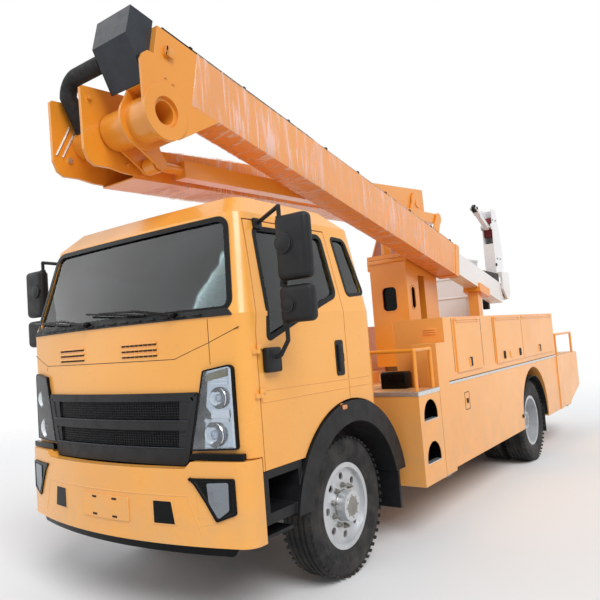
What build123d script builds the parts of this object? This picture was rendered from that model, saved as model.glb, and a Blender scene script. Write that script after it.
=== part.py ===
"""Cherry picker truck: a cab-over chassis with a slewing, two-boom aerial bucket.

Millimetres. +X is the truck's left, -Y its front, +Z up. The origin is on the ground,
under the middle of the truck. Each node is written to parts/NODE.step.
"""
import os
from math import atan2, cos, degrees, hypot, radians, sin

from build123d import *

os.makedirs("parts", exist_ok=True)

# ---------------------------------------------------------------- chassis
wheelbase = 4200
front_overhang = 1340
rear_overhang = 2440
overall_length = front_overhang + wheelbase + rear_overhang
front_y = -overall_length / 2
tail_y = overall_length / 2
front_axle_y = front_y + front_overhang
rear_axle_y = front_axle_y + wheelbase

rail_half_gap = 350
rail_width = 75
rail_height = 230
rail_bottom = 640
rail_plate = 8
rail_out = rail_half_gap + rail_width
rail_top = rail_bottom + rail_height
seat_gap = 0.3
cross_members = (-1060, 1100, 2550, 3550, 4900, 6300)
cross_width = 80
spring_x = 400
spring_width = 75
spring_half_length = 600
hanger_length = 90
spring_eye_z = 600
leaf_thick = 14
leaf_count = 5

# ---------------------------------------------------------------- wheels
tyre_radius = 490
tyre_width = 260
rim_radius = 300
bead_radius = 272
rim_width = 210
rim_plate = 14
front_rim_face = 996
rear_rim_face = 1162
twin_spacing = 300
front_wheel_x = front_rim_face - rim_width / 2
rear_wheel_x = rear_rim_face - rim_width / 2
hub_radius = 105
hub_nose = 50
kingpin_x = 790
kingpin_radius = 24
knuckle_half = 75
spindle_root = 875
rear_hub_x = 885
rear_axle_radius = 75
shaft_gap = 0.3
hand_holes = 8
hand_hole_circle = 205
hand_hole_radius = 26
front_disc_out = 70
axle_z = tyre_radius
arch_gap = 110
arch_inner = tyre_radius + arch_gap
arch_band = 150
arch_outer = arch_inner + arch_band
arch_seam = 12

# ---------------------------------------------------------------- cab
cab_half_width = 1100
cab_bottom = 950
cab_floor = 1250
cab_waist = 1880
cab_brow = 2530
cab_roof = 2660
cab_wall = 50
cab_front_mid = 1240
cab_front_corner = 1110
cab_rear = 430
brow_setback = 255
brow_corner_setback = 150
brow_inset = 135
roof_setback = 400
roof_corner_setback = 290
roof_inset = 240
roof_rear_step = 210
cab_corner_radius = 110
door_front = 1010
door_rear = 0
door_seam = 8
glass_inset = 12
glass_thick = 5
cab_mounts = ((-900, -830, cab_floor), (385, 425, cab_bottom))
hinge_radius = 12
hinge_half = 26
hinge_heights = (1400, 1660)
door_top = 2475
door_slant = 105
door_window = [(-905, 1700), (-835, 2430), (-60, 2440), (-55, 1990), (-300, 1925)]
quarter_window = [(110, 2000), (85, 2440), (280, 2430), (360, 2020)]
windshield = [(-1000, 1925), (-880, 2490), (880, 2490), (1000, 1925)]
rear_window = [(-650, 1950), (-650, 2350), (650, 2350), (650, 1950)]
grille_outline = [(668, 995), (775, 1430), (-775, 1430), (-668, 995)]
grille_proud = 18
grille_pitch = 95
grille_rows = 3
bumper_bottom = 545
bumper_top = 1030
bumper_dip = 42
bumper_dip_half = 690
bumper_dip_slant = 45
bumper_rear = 1040
headlamp_outline = [(695, 1080), (812, 1560), (990, 1588), (1018, 1570), (1018, 1092)]
wheel_x = 430
trim_x0 = 800
trim_x1 = 1120
mirror_x = 1250
mirror_y = -900
mirror_low = 1690
mirror_high = 2510
mirror_foot_y = -790
mirror_foot_z = 2456

# ---------------------------------------------------------------- service body
body_half_width = 1254
skin = 3
locker_depth = 500
locker_front = 1478
locker_rear = 5403
locker_bottom = 468
locker_top = 1803
locker_wall = 25
waist_z = 1222
lid_thick = 14
lid_seat = 0.3
lid_hinge_radius = 7
deck_z = 1200
deck_thick = 8
pedestal_half = 330
pedestal_wall = 12
web_thick = 12
step_front = 806
step_bottom = 447
step_rear = 1230
step_hole_z = (985, 640)
step_hole_radius = 140
lid_spans = ((1720, 2400), (2860, 3830), (3850, 5300))
lid_margin = 30
lid_bottom = 1285
lid_top = 1775
arch_half = 555
rear_arch_z = 590
bearer_distances = (1000, 1900, 2700, 4100, 5000)
bearer_depth = 110
bearer_width = 90
rest_x = 395
rest_y = 4800
rest_half = 70
leg_places = ((1355, 1139, 1580), (6100, 1090, 1150))
leg_half = 115
leg_bottom = 450
leg_wall = 10
leg_clear = 0.4
jack_bottom = 420
jack_foot = 90
rail_tube = 17
tail_deck_z = 1200
tail_deck_thick = 12
tail_rail_top = 1500
tail_panel_low = 690

# ---------------------------------------------------------------- aerial device
slew_y = 3400
slew_radius = 430
slew_ring_height = 90
turret_half_width = 240
turret_front = 2950
turret_column = 330
turret_pillar_front = 3460
turret_pillar_rear = 3850
turret_rear = 4000
turret_neck = 2500
turret_top = 2650
turret_ledge = 15
plate = 20
ring_gap = 0.3
lower_x0 = -380
lower_x1 = -20
lower_pivot_y = 4000
lower_pivot_z = 3430
lower_tail = 280
lower_rear_top = 220
lower_rear_height = 500
lower_front_top = -70
lower_front_height = 230
lower_front = 150
cheek_outline = [(-262, 275), (-245, 288), (110, 300), (420, 20), (420, -290), (60, -275), (-60, -256),
                 (-190, -256), (-240, -225), (-270, -150)]
elbow_y = -1070
elbow_z = 3250
elbow_shaft = 104
elbow_bore = 80
elbow_collar = 135
lower_pin = 60
pin_gap = 0.3
ear_gap = 8
boom_wall = 10
lower_span = hypot(lower_pivot_y - elbow_y, lower_pivot_z - elbow_z)
lower_tilt = degrees(atan2(lower_pivot_z - elbow_z, lower_pivot_y - elbow_y))
tie_x0 = 66
tie_x1 = 178
tie_height = 130
tie_dy = 230
tie_dz = -220
tie_side = 8
tie_pin = 30
tie_eye = 62
tie_fork = 260
tie_wall = 8
knuckle_ears = (30, 190)
hose_radius = 60
hose_bend = 120
hose_x = -295
hose_forward = 165
hose_lift = 420
hood_x0 = 125
hood_x1 = 470
hood_wall = 8
hood_top = 620
hood_length = 190
hood_brow = 10
hood_band = 208
hood_foot = 170
hood_foot_length = 7
lift_x = -120
lift_half = 50
lift_side = 15
lift_foot_y = 3150
lift_foot_z = 1500
lift_back = 800
lift_drop = 440
lift_barrel = 60
lift_bore = 42
lift_rod_radius = 34
upper_x0 = 270
upper_x1 = 520
upper_height = 400
upper_slope = 12
upper_lift = 365
upper_start = -150
upper_end = 5060
upper_ring = 190
near_plate_front = [(-250, 262), (-238, 310), (-205, 346)]
near_plate_rise = 190
collar_proud = 8
collar_length = 100
slide_gap = 0.4
inner_height = 290
inner_width = 190
inner_start = 1700
inner_tip = 6900
inner_reach = 7050
tip_pin = 25
tip_eye = 70
tip_side = 6
shoe_start = 5860
shoe_end = 6260
shoe_depth = 60
head_low = 300
head_high = 360
column_x0 = 290
column_x1 = 450
column_wall = 10
column_box_top = 2950
column_outline = [(5710, 2490), (5710, 2950), (5750, 3490), (5940, 3490), (6090, 2850), (6050, 2490)]
jib_pivot_dy = -200
jib_pivot_dz = 1070
jib_pin = 14
jib_eye = 42
jib_half = 32
jib_length = 545
jib_rise = 25
bucket_x0 = -520
bucket_side = 590
bucket_y0 = 5450
bucket_height = 900
bucket_wall = 8
bucket_floor_z = 1850
bucket_lip = 14
tilt_pivot_y = 5810
tilt_pivot_z = 2300
tilt_pin = 28
tilt_socket = 90
tilt_end_gap = 12




def at_y(distance):
    """Y of a point that lies this far behind the front axle."""
    return front_axle_y + distance


def block(x0, x1, y0, y1, z0, z1):
    centre = Pos((x0 + x1) / 2, (y0 + y1) / 2, (z0 + z1) / 2)
    return centre * Box(abs(x1 - x0), abs(y1 - y0), abs(z1 - z0))


def rod_x(radius, x0, x1, y, z):
    return Pos((x0 + x1) / 2, y, z) * Rot(0, 90, 0) * Cylinder(radius, abs(x1 - x0))


def rod_y(radius, y0, y1, x, z):
    return Pos(x, (y0 + y1) / 2, z) * Rot(90, 0, 0) * Cylinder(radius, abs(y1 - y0))


def rod_z(radius, z0, z1, x, y):
    return Pos(x, y, (z0 + z1) / 2) * Cylinder(radius, abs(z1 - z0))


def side_plate(points, x0, x1):
    """A flat shape given by (y, z) corners, from x0 to x1."""
    face = make_face(Polyline(*points, close=True))
    return extrude(Plane.YZ.offset(x0) * face, amount=x1 - x0)


def front_plate(points, y0, y1):
    """A flat shape given by (x, z) corners, from y0 back to y1."""
    face = make_face(Polyline(*points, close=True))
    return extrude(Plane.XZ.offset(-y1) * face, amount=y1 - y0)


def rounded(points, radius):
    """A closed outline in its own plane with every corner rounded."""
    face = make_face(Polyline(*points, close=True))
    return fillet(face.vertices(), radius)


def side_window(points, x0, x1, radius):
    return extrude(Plane.YZ.offset(x0) * rounded(points, radius), amount=x1 - x0)


def flipped(solid):
    return mirror(solid, about=Plane.YZ)


def save(name, *solids):
    """Write one node: a single solid, or like pieces that don't touch."""
    shape = solids[0] if len(solids) == 1 else Compound(children=list(solids))
    shape.label = name
    export_step(shape, "parts/" + name + ".step")


# ---------------------------------------------------------------- chassis pieces
def chassis_frame():
    front = at_y(-1080)
    rear = at_y(6450)
    side = (rail_half_gap + rail_out) / 2
    channel = block(rail_half_gap, rail_out, front, rear, rail_bottom, rail_top)
    groove = block(rail_half_gap - 1, rail_out - rail_plate, front - 1, rear + 1,
                   rail_bottom + rail_plate, rail_top - rail_plate)
    rail = channel - groove
    frame = rail + flipped(rail)
    for distance in cross_members:
        y = at_y(distance)
        frame = frame + block(-side, side, y, y + cross_width, rail_top - rail_plate - 110, rail_top - rail_plate)
    for distance in (0, wheelbase):
        for end in (-spring_half_length, spring_half_length):
            y = at_y(distance + end)
            hanger = block(spring_x - spring_width / 2 - plate, spring_x + spring_width / 2 + plate,
                           y - hanger_length / 2, y + hanger_length / 2, spring_eye_z + 25 + seat_gap, rail_bottom)
            frame = frame + hanger + flipped(hanger)
    for front, rear, top in cab_mounts:
        mount = block(rail_half_gap, rail_out, at_y(front), at_y(rear), rail_top - 1, top - seat_gap)
        frame = frame + mount + flipped(mount)
    return frame


def axles():
    """The dropped front beam and the rear banjo housing, with their springs."""
    end = kingpin_x - 90
    beam = block(-end, end, front_axle_y - 45, front_axle_y + 45, axle_z - 150, axle_z - 60)
    for sign in (-1, 1):
        riser = block(sign * (end - 10), sign * (kingpin_x + 32), front_axle_y - 36, front_axle_y + 36,
                      axle_z - knuckle_half, axle_z + knuckle_half)
        beam = beam + riser - rod_z(kingpin_radius + pin_gap, 0, 2 * axle_z, sign * kingpin_x, front_axle_y)
    housing = rod_x(rear_axle_radius, -rear_hub_x, rear_hub_x, rear_axle_y, axle_z)
    housing = housing + Pos(0, rear_axle_y, axle_z) * Sphere(190)
    housing = housing + rod_y(95, rear_axle_y - 330, rear_axle_y, 0, axle_z)
    solids = []
    for base, y, seat in ((beam, front_axle_y, axle_z - 60), (housing, rear_axle_y, axle_z + 60)):
        whole = base
        for x in (-spring_x, spring_x):
            whole = whole + spring_pack(x, y, seat)
        solids.append(whole)
    return solids


def spring_pack(x, y, seat):
    """Leaves that shorten step by step below the long top leaf, with their saddle."""
    top = spring_eye_z + 25
    pack = block(x - spring_width / 2, x + spring_width / 2, y - spring_half_length - 40,
                 y + spring_half_length + 40, top - leaf_thick, top)
    for step in range(1, leaf_count):
        reach = spring_half_length * (1 - step / leaf_count)
        pack = pack + block(x - spring_width / 2, x + spring_width / 2, y - reach, y + reach,
                            top - (step + 1) * leaf_thick, top - step * leaf_thick)
    low = top - leaf_count * leaf_thick
    return pack + block(x - spring_width / 2 - 8, x + spring_width / 2 + 8, y - 70, y + 70,
                        min(seat, low) - 15, max(seat, low) + 10)


def driveline():
    """Engine and gearbox as plain blocks, with the propeller shaft to the rear axle."""
    engine = block(-300, 300, at_y(-620), at_y(370), rail_bottom - 70, cab_floor - 60)
    engine = engine + block(-190, 190, at_y(370), at_y(1050), rail_bottom - 30, rail_top + 20)
    shaft_start = Vector(0, at_y(1050), rail_bottom + 50)
    shaft_end = Vector(0, rear_axle_y - 335, axle_z)
    run = shaft_end - shaft_start
    turn = degrees(atan2(run.Z, run.Y))
    shaft = Pos(*((shaft_start + shaft_end) * 0.5)) * Rot(turn, 0, 0) * Rot(90, 0, 0) * Cylinder(50, run.length)
    web = rail_out - rail_plate - seat_gap
    mounts = block(-web, web, at_y(-120), at_y(-40), rail_bottom + 30, rail_bottom + 90)
    return engine + shaft + mounts


def side_tanks():
    """Fuel tank on the right rail and the battery and air boxes on the left rail."""
    near = rail_out + seat_gap
    tank = block(-near - 310, -near - 2, at_y(1600), at_y(2500), 470, 850)
    tank = fillet(tank.edges().filter_by(Axis.Y), 60)
    for y in (at_y(1750), at_y(2300)):
        tank = tank + block(-near - 60, -near, y, y + 50, 560, 760)
    battery = block(near, near + 300, at_y(1650), at_y(2150), 520, 840)
    air = rod_y(110, at_y(2140), at_y(2900), near + 111, 700)
    return [tank, battery + air]


# ---------------------------------------------------------------- wheels
def tyre_at(x):
    """A tyre as one turned section about the axle, with its centre plane at x."""
    half = tyre_width / 2
    tread = half - 25
    bead = rim_width / 2 - rim_plate - seat_gap
    section = [(-bead, bead_radius + 10 + seat_gap), (-bead, rim_radius + seat_gap), (-half + 6, bead_radius + 75), (-half, tyre_radius - 95),
               (-tread, tyre_radius - 14), (-tread + 22, tyre_radius)]
    points = section + [(-a, r) for a, r in reversed(section)]
    face = make_face(Polyline(*points, close=True))
    return Pos(x, 0, 0) * revolve(Plane.XY * face, Axis.X)


def rim_at(x, disc_offset, sign):
    """A wheel rim with its disc; disc_offset is measured outwards along sign."""
    half = rim_width / 2
    outer = [(-half, rim_radius), (-half, bead_radius - 6), (half, bead_radius - 6), (half, rim_radius),
             (half - rim_plate, rim_radius), (half - rim_plate, bead_radius + 10),
             (-half + rim_plate, bead_radius + 10), (-half + rim_plate, rim_radius)]
    rim = revolve(make_face(Polyline(*outer, close=True)), Axis.X)
    root = sign * min(abs(disc_offset), half - 40) * (1 if disc_offset > 0 else -1)
    face = sign * disc_offset
    side = rim_plate / 2
    dish = [(root - side, bead_radius - 2), (face - side, bead_radius - 90), (face - side, 0), (face + side, 0),
            (face + side, bead_radius - 88), (root + side, bead_radius - 2)]
    rim = rim + revolve(make_face(Polyline(*dish, close=True)), Axis.X)
    holes = []
    for turn in range(hand_holes):
        hole = Rot(360 * turn / hand_holes, 0, 0) * Pos((root + face) / 2, 0, hand_hole_circle)
        holes.append(hole * Rot(0, 90, 0) * Cylinder(hand_hole_radius, abs(face - root) + 60))
    rim = rim - holes
    return Pos(x, 0, 0) * rim


def front_wheel(sign):
    x = sign * front_wheel_x
    place = Pos(0, front_axle_y, axle_z)
    rim = rim_at(x, front_disc_out, sign)
    face = front_wheel_x + front_disc_out
    nose = sign * (front_rim_face + hub_nose)
    hub = Rot(0, 90, 0) * Cylinder(hub_radius, hub_nose + front_rim_face - face)
    rim = rim + Pos((sign * face + nose) / 2, 0, 0) * hub
    return place * tyre_at(x), place * rim


def rear_wheel(sign):
    place = Pos(0, rear_axle_y, axle_z)
    outer = sign * rear_wheel_x
    inner = sign * (rear_wheel_x - twin_spacing)
    disc = twin_spacing / 2 - rim_plate / 2
    rim = rim_at(outer, -disc, sign) + rim_at(inner, disc, sign)
    mid = rear_wheel_x - twin_spacing / 2
    nose = rear_rim_face - 60
    rim = rim + Pos(sign * (mid + nose) / 2, 0, 0) * Rot(0, 90, 0) * Cylinder(hub_radius, nose - mid)
    drum = Pos(sign * (mid - 90), 0, 0) * Rot(0, 90, 0) * (Cylinder(205, 180) - Cylinder(rear_axle_radius + shaft_gap, 200))
    rim = rim + drum
    tyres = [place * tyre_at(outer), place * tyre_at(inner)]
    return tyres, place * rim


def steering_knuckle(sign):
    """Kingpin, fork arms and the spindle that carries a front wheel."""
    pin = rod_z(kingpin_radius, axle_z - knuckle_half - 40, axle_z + knuckle_half + 40,
                sign * kingpin_x, front_axle_y)
    body = pin
    for z in (axle_z - knuckle_half - 42, axle_z + knuckle_half + 2):
        body = body + block(sign * (kingpin_x - 40), sign * spindle_root, front_axle_y - 40, front_axle_y + 40,
                            z, z + 40)
    body = body + block(sign * (kingpin_x + 57), sign * spindle_root, front_axle_y - 40, front_axle_y + 40,
                        axle_z - knuckle_half - 42, axle_z + knuckle_half + 42)
    spindle_end = front_wheel_x + front_disc_out - rim_plate / 2 - shaft_gap
    return body + rod_x(60, sign * (spindle_root - 5), sign * spindle_end, front_axle_y, axle_z)


# ---------------------------------------------------------------- cab
def cab_outline(z, half_width, corner, middle, rear):
    """Plan outline of the cab at one height: bowed front, rounded corners."""
    left = Line((half_width, at_y(rear)), (half_width, at_y(-corner)))
    bow = ThreePointArc((half_width, at_y(-corner)), (0, at_y(-middle)), (-half_width, at_y(-corner)))
    right = Line((-half_width, at_y(-corner)), (-half_width, at_y(rear)))
    back = Line((-half_width, at_y(rear)), (half_width, at_y(rear)))
    face = make_face([left, bow, right, back])
    face = fillet(face.vertices(), cab_corner_radius)
    return Pos(0, 0, z) * face


def cab_hull(inset, low):
    """The cab's outer form, moved in by inset; low is its underside."""
    i = inset
    front = (cab_half_width - i, cab_front_corner - i, cab_front_mid - i, cab_rear - i)
    brow = (cab_half_width - brow_inset - i, cab_front_corner - brow_corner_setback - i,
            cab_front_mid - brow_setback - i, cab_rear - i)
    roof = (cab_half_width - roof_inset - i, cab_front_corner - roof_corner_setback - i,
            cab_front_mid - roof_setback - i, cab_rear - roof_rear_step - i)
    tiers = [(low, front), (cab_waist, front), (cab_brow, brow), (cab_roof - i, roof)]
    outlines = [cab_outline(z, *sizes) for z, sizes in tiers]
    hull = loft(outlines[:2], ruled=True)
    hull = hull + loft(outlines[1:3], ruled=True)
    return hull + loft(outlines[2:], ruled=True)


def door_region(gap, x0, x1):
    front = -door_front - gap
    rear = door_rear + gap
    points = [(at_y(front), cab_bottom - 50), (at_y(front), cab_waist - 120),
              (at_y(front + door_slant), door_top + gap), (at_y(rear), door_top + gap), (at_y(rear), cab_bottom - 50)]
    return side_plate(points, x0, x1)


def arch_cut(radius, x0, x1):
    return rod_x(radius, x0, x1, front_axle_y, axle_z)


def window_cuts(shrink):
    """Prisms of the windscreen, the quarter windows and the rear window."""
    cuts = []
    screen = rounded([(x * (1 - shrink / 1000), z + (shrink if z < 2200 else -shrink)) for x, z in windshield], 60)
    cuts.append(extrude(Plane.XZ.offset(-at_y(-500)) * screen, amount=900))
    pane = rounded([(x * (1 - shrink / 650), z + (shrink if z < 2200 else -shrink)) for x, z in rear_window], 60)
    cuts.append(extrude(Plane.XZ.offset(-at_y(600)) * pane, amount=400))
    middle_y = sum(y for y, z in quarter_window) / 4
    middle_z = sum(z for y, z in quarter_window) / 4
    points = [(at_y(y - shrink * (1 if y > middle_y else -1)), z - shrink * (1 if z > middle_z else -1))
              for y, z in quarter_window]
    side = side_window(points, 700, 1300, 40)
    cuts.append(side)
    cuts.append(flipped(side))
    return cuts


def door_window_cut(shrink, sign):
    ys = [y for y, z in door_window]
    middle = sum(ys) / len(ys)
    points = [(at_y(y - shrink * (1 if y > middle else -1)), z - shrink * (1 if z > 2100 else -1))
              for y, z in door_window]
    cut = side_window(points, 700, 1300, 30)
    return cut if sign > 0 else flipped(cut)


def door_hinge(sign, low):
    """The knuckles of one door's two hinges: the lower halves are the cab's, the upper the door's."""
    x = hinge_line_x()
    y = at_y(-door_front - door_seam / 2)
    pieces = None
    for z in hinge_heights:
        start = z - hinge_half if low else z + seat_gap
        knuckle = rod_z(hinge_radius, start, start + hinge_half - (0 if low else seat_gap), x, y)
        reach = -1 if low else 1
        leaf = block(x - 30, x, y, y + reach * 45, start, start + hinge_half - (0 if low else seat_gap))
        leaf = leaf - cab_hull(0.01, cab_bottom)
        knuckle = knuckle + leaf
        pieces = knuckle if pieces is None else pieces + knuckle
    return pieces if sign > 0 else flipped(pieces)


def hinge_line_x():
    """The door hinges' axis stands just outside the cab's side."""
    return cab_half_width + hinge_radius


def cab_shell():
    inner_floor = cab_floor + cab_wall
    shell = cab_hull(0, cab_bottom) - cab_hull(cab_wall, inner_floor)
    below = cab_hull(cab_wall, cab_bottom - 100)
    below = below & block(-1200, 1200, at_y(-1400), at_y(600), cab_bottom - 100, cab_floor)
    shell = shell - below
    shell = shell - window_cuts(0)
    inside = cab_hull(cab_wall + door_seam, cab_bottom - 100)
    for sign in (-1, 1):
        shell = shell - (door_region(door_seam, sign * 780, sign * 1300) - inside)
    shell = shell - block(-1300, 1300, at_y(-1500), at_y(-bumper_rear + 10), cab_bottom - 10, bumper_top + 6)
    shell = shell + door_hinge(-1, True) + door_hinge(1, True)
    return shell - arch_cut(arch_outer + arch_seam, -1300, 1300)


def door(sign):
    skin_solid = cab_hull(0, cab_bottom) - cab_hull(cab_wall, cab_bottom - 100)
    leaf = skin_solid & door_region(0, sign * 780, sign * 1300)
    leaf = leaf - arch_cut(arch_outer + arch_seam, -1300, 1300)
    return leaf - door_window_cut(0, sign) + door_hinge(sign, False)


def pane_skin():
    return cab_hull(glass_inset, cab_waist - 400) - cab_hull(glass_inset + glass_thick, cab_waist - 400)


def cab_glass():
    skin_solid = pane_skin()
    return [piece for cut in window_cuts(seat_gap) for piece in (skin_solid & cut).solids()]


def door_glass(sign):
    return (pane_skin() & door_window_cut(seat_gap, sign)).solids()[0]


def front_skin(points, out, inset):
    """A pad on the cab's bowed front inside (x, z) corners, out proud of the panel."""
    face = make_face(Polyline(*points, close=True))
    prism = extrude(Plane.XZ.offset(-at_y(-700)) * face, amount=900)
    return (cab_hull(-out, cab_bottom - 50) - cab_hull(-inset, cab_bottom - 60)) & prism


def grille():
    panel = front_skin(grille_outline, grille_proud, seat_gap)
    x, top = grille_outline[1]
    step = grille_pitch
    for row in range(grille_rows):
        z = grille_outline[0][1] + 60 + row * step
        slot = block(-x + 120, x - 120, at_y(-1400), at_y(-cab_front_mid - 6), z, z + step * 0.45)
        panel = panel - slot
    return panel


def bumper():
    """Wrap-round bumper with plate recess, tow openings and lamp pockets."""
    height = bumper_top - bumper_bottom
    outer = extrude(cab_outline(bumper_bottom, cab_half_width, cab_front_corner + 50, front_overhang, -700), height)
    inner = extrude(cab_outline(bumper_bottom, cab_half_width - 70, cab_front_corner - 20,
                                front_overhang - 70, -650), height)
    shape = outer - inner - block(-1300, 1300, at_y(-bumper_rear), at_y(-500), 0, 2000)
    dip = [(-bumper_dip_half - bumper_dip_slant, bumper_top + 1), (-bumper_dip_half, bumper_top - bumper_dip),
           (bumper_dip_half, bumper_top - bumper_dip), (bumper_dip_half + bumper_dip_slant, bumper_top + 1)]
    shape = shape - front_plate(dip, at_y(-1500), at_y(-1000))
    for x in (-512, 512):
        shape = shape - block(x - 55, x + 55, at_y(-1500), at_y(-1100), 675, 785)
    for sign in (-1, 1):
        pocket = block(sign * 780, sign * 985, at_y(-1500), at_y(-1100), 720, 905)
        shape = shape - pocket
    for x in (-420, 420):
        bracket = block(x - 40, x + 40, at_y(-front_overhang + 75), at_y(-1080), 640, 760)
        shape = shape + bracket
    return shape


def lamps():
    """Head lamps, fog lamps, roof and side markers and the tail lamps."""
    solids = []
    for sign in (-1, 1):
        points = [(sign * x, z) for x, z in headlamp_outline]
        solids.append(front_skin(points, grille_proud + 4, seat_gap).solids()[0])
        solids.append(block(sign * (780 + seat_gap), sign * (985 - seat_gap), at_y(-1245), at_y(-1160),
                            720 + seat_gap, 905 - seat_gap))
        solids.append(block(sign * 760, sign * 820, at_y(-640), at_y(-560), cab_roof - 60, cab_roof + 25)
                      - cab_hull(-seat_gap, cab_bottom))
        solids.append(block(sign * (800 + seat_gap), sign * (1000 - seat_gap), tail_y - 20, tail_y - 2,
                            850 + seat_gap, 980 - seat_gap))
    return solids


def cab_interior():
    """Dashboard with steering wheel, and two seats on the cab floor."""
    base = cab_floor + cab_wall
    dash = block(-950, 950, at_y(-1080), at_y(-760), base + 250, base + 560)
    dash = dash & cab_hull(cab_wall + 2, base)
    dash = dash + block(-500, 500, at_y(-1050), at_y(-900), base, base + 260)
    hub = Pos(wheel_x, at_y(-610), base + 640) * Rot(-35, 0, 0)
    wheel = hub * (Torus(215, 16) + Cylinder(50, 30) + Box(400, 36, 16))
    column = hub * Pos(0, 0, -150) * Cylinder(26, 300)
    solids = [dash + column + wheel]
    for x, width in ((wheel_x, 520), (-wheel_x + 60, 640)):
        seat = block(x - width / 2, x + width / 2, at_y(-430), at_y(80), base, base + 420)
        seat = seat + block(x - width / 2, x + width / 2, at_y(80), at_y(210), base, base + 980)
        solids.append(seat)
    return solids


def cab_lower_trim():
    """Front mudguards with their flaps, and the step boxes below the doors."""
    ring = arch_cut(arch_outer, trim_x0, trim_x1) - arch_cut(arch_inner, trim_x0 - 1, trim_x1 + 1)
    keep = block(trim_x0 - 5, trim_x1 + 5, at_y(-900), at_y(900), axle_z + 130, 2000)
    guard = ring & keep
    flap = block(trim_x0, trim_x1, at_y(arch_inner), at_y(arch_inner + 25), 330, axle_z + 300)
    bracket = block(rail_out, trim_x0 + 40, at_y(arch_inner), at_y(arch_inner + 40), 690, 780)
    guard = guard + flap + bracket
    step = block(760, cab_half_width - 5, at_y(-1030), at_y(-arch_inner - 45), 640, 945)
    step = step - block(840, cab_half_width + 20, at_y(-990), at_y(-arch_inner - 85), 700, 900)
    hanger = block(rail_out, 770, at_y(-1000), at_y(-900), 700, 800)
    step = step + hanger
    stirrup = block(880, 905, at_y(-1000), at_y(-975), 560, 645) + block(880, 905, at_y(-760), at_y(-735), 560, 645)
    stirrup = stirrup + block(870, 1060, at_y(-1000), at_y(-735), 545, 565)
    step = step + stirrup
    return [guard, step, flipped(guard), flipped(step)]


def mirrors(sign):
    """Two mirror heads on one bent tube, with its brackets on the door frame."""
    x_tube = mirror_x
    y = at_y(mirror_y)
    whole = rail_run(14, [(door_face_x(mirror_low) + seat_gap, y, mirror_low), (x_tube, y, mirror_low),
                          (x_tube, y, mirror_high),
                          (door_face_x(mirror_foot_z) + 10, at_y(mirror_foot_y), mirror_foot_z)])
    for low, high in ((1800, 2020), (2050, 2440)):
        head = block(x_tube - 20, x_tube + 215, y - 45, y + 45, low, high)
        head = fillet(head.edges(), 18)
        whole = whole + head
    for z in (1905, 2265):
        whole = whole + rod_y(60, y - 62, y - 30, x_tube + 45, z)
    return whole if sign > 0 else flipped(whole)


def door_face_x(z):
    """How far out the door's outer face is at one height."""
    if z <= cab_waist:
        return cab_half_width
    return cab_half_width - brow_inset * (z - cab_waist) / (cab_brow - cab_waist)


# ---------------------------------------------------------------- service body
def locker_inner_x():
    """Where the lockers' inner faces lie, beside the deck."""
    return body_half_width - locker_depth


def locker(sign):
    """Hollow side locker with its lid openings, wheel arch and open inner face ribs."""
    x1 = body_half_width - lid_thick - lid_seat
    x0 = locker_inner_x()
    y0 = at_y(locker_front)
    y1 = at_y(locker_rear)
    w = locker_wall
    shape = block(x0, x1, y0, y1, locker_bottom, locker_top)
    upper = block(x0 + w, x1 - w, y0 + w, y1 - w, waist_z, locker_top - w)
    front_low = block(x0 + w, x1 - w, y0 + w, at_y(wheelbase) - arch_half - w, locker_bottom + w, waist_z - w)
    rear_low = block(x0 + w, x1 - w, at_y(wheelbase) + arch_half + w, y1 - w, locker_bottom + w, waist_z - w)
    shape = shape - upper - front_low - rear_low
    for start, end in lid_spans:
        shape = shape - block(x1 - w - 1, x1 + 5, at_y(start) + lid_margin, at_y(end) - lid_margin,
                              lid_bottom + lid_margin, lid_top - lid_margin)
    arch = rod_x(arch_half, x0 - 10, x1 + 10, rear_axle_y, rear_arch_z)
    arch = arch + block(x0 - 10, x1 + 10, rear_axle_y - arch_half, rear_axle_y + arch_half,
                        locker_bottom - 50, rear_arch_z)
    shape = shape - arch
    return shape if sign > 0 else flipped(shape)


def lid(sign, start, end):
    x0 = body_half_width - lid_thick
    leaf = block(x0, body_half_width, at_y(start), at_y(end), lid_bottom, lid_top)
    latch = block(body_half_width - 4, body_half_width + 10, at_y((start + end) / 2) - 40,
                  at_y((start + end) / 2) + 40, lid_bottom + 40, lid_bottom + 110)
    leaf = leaf + latch + rod_y(lid_hinge_radius, at_y(start), at_y(end), body_half_width, lid_top)
    return leaf if sign > 0 else flipped(leaf)


def subframe():
    """Sub-frame on the rails: deck plate, bearers, locker outriggers and slew pedestal."""
    inner = locker_inner_x() - seat_gap
    y0 = at_y(step_front + 60)
    y1 = at_y(locker_rear)
    low = rail_top + seat_gap
    deck = block(-inner, inner, y0, y1, deck_z - deck_thick, deck_z)
    for distance in bearer_distances:
        y = at_y(distance)
        bearer = block(-inner, inner, y, y + bearer_width, deck_z - deck_thick - bearer_depth, deck_z - deck_thick)
        deck = deck + bearer
    for sign in (-1, 1):
        deck = deck + block(sign * rail_half_gap, sign * (rail_half_gap + web_thick), y0, y1, low, deck_z - deck_thick)
    under = deck_z - deck_thick
    half = pedestal_half
    middle = at_y(slew_y)
    pedestal = block(-half, half, middle - half, middle + half, low, under)
    half = half - pedestal_wall
    pedestal = pedestal - block(-half, half, middle - half, middle + half, low - 1, under + 1)
    deck = deck + pedestal
    post_y = at_y(rest_y)
    foot = rest_half * 1.6
    post = block(rest_x - rest_half, rest_x + rest_half, post_y - rest_half, post_y + rest_half,
                 deck_z, elbow_z)
    post = post - upper_frame(block(0, 2 * rest_x, 0, inner_tip,
                                    upper_lift - inner_height / 2 - shoe_depth - slide_gap, upper_end))
    post = post + block(rest_x - foot, rest_x + foot, post_y - foot, post_y + foot, deck_z, deck_z + 15)
    box = block(-330, 330, at_y(1560), at_y(1900), deck_z, deck_z + 110)
    return deck + post + box


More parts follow.
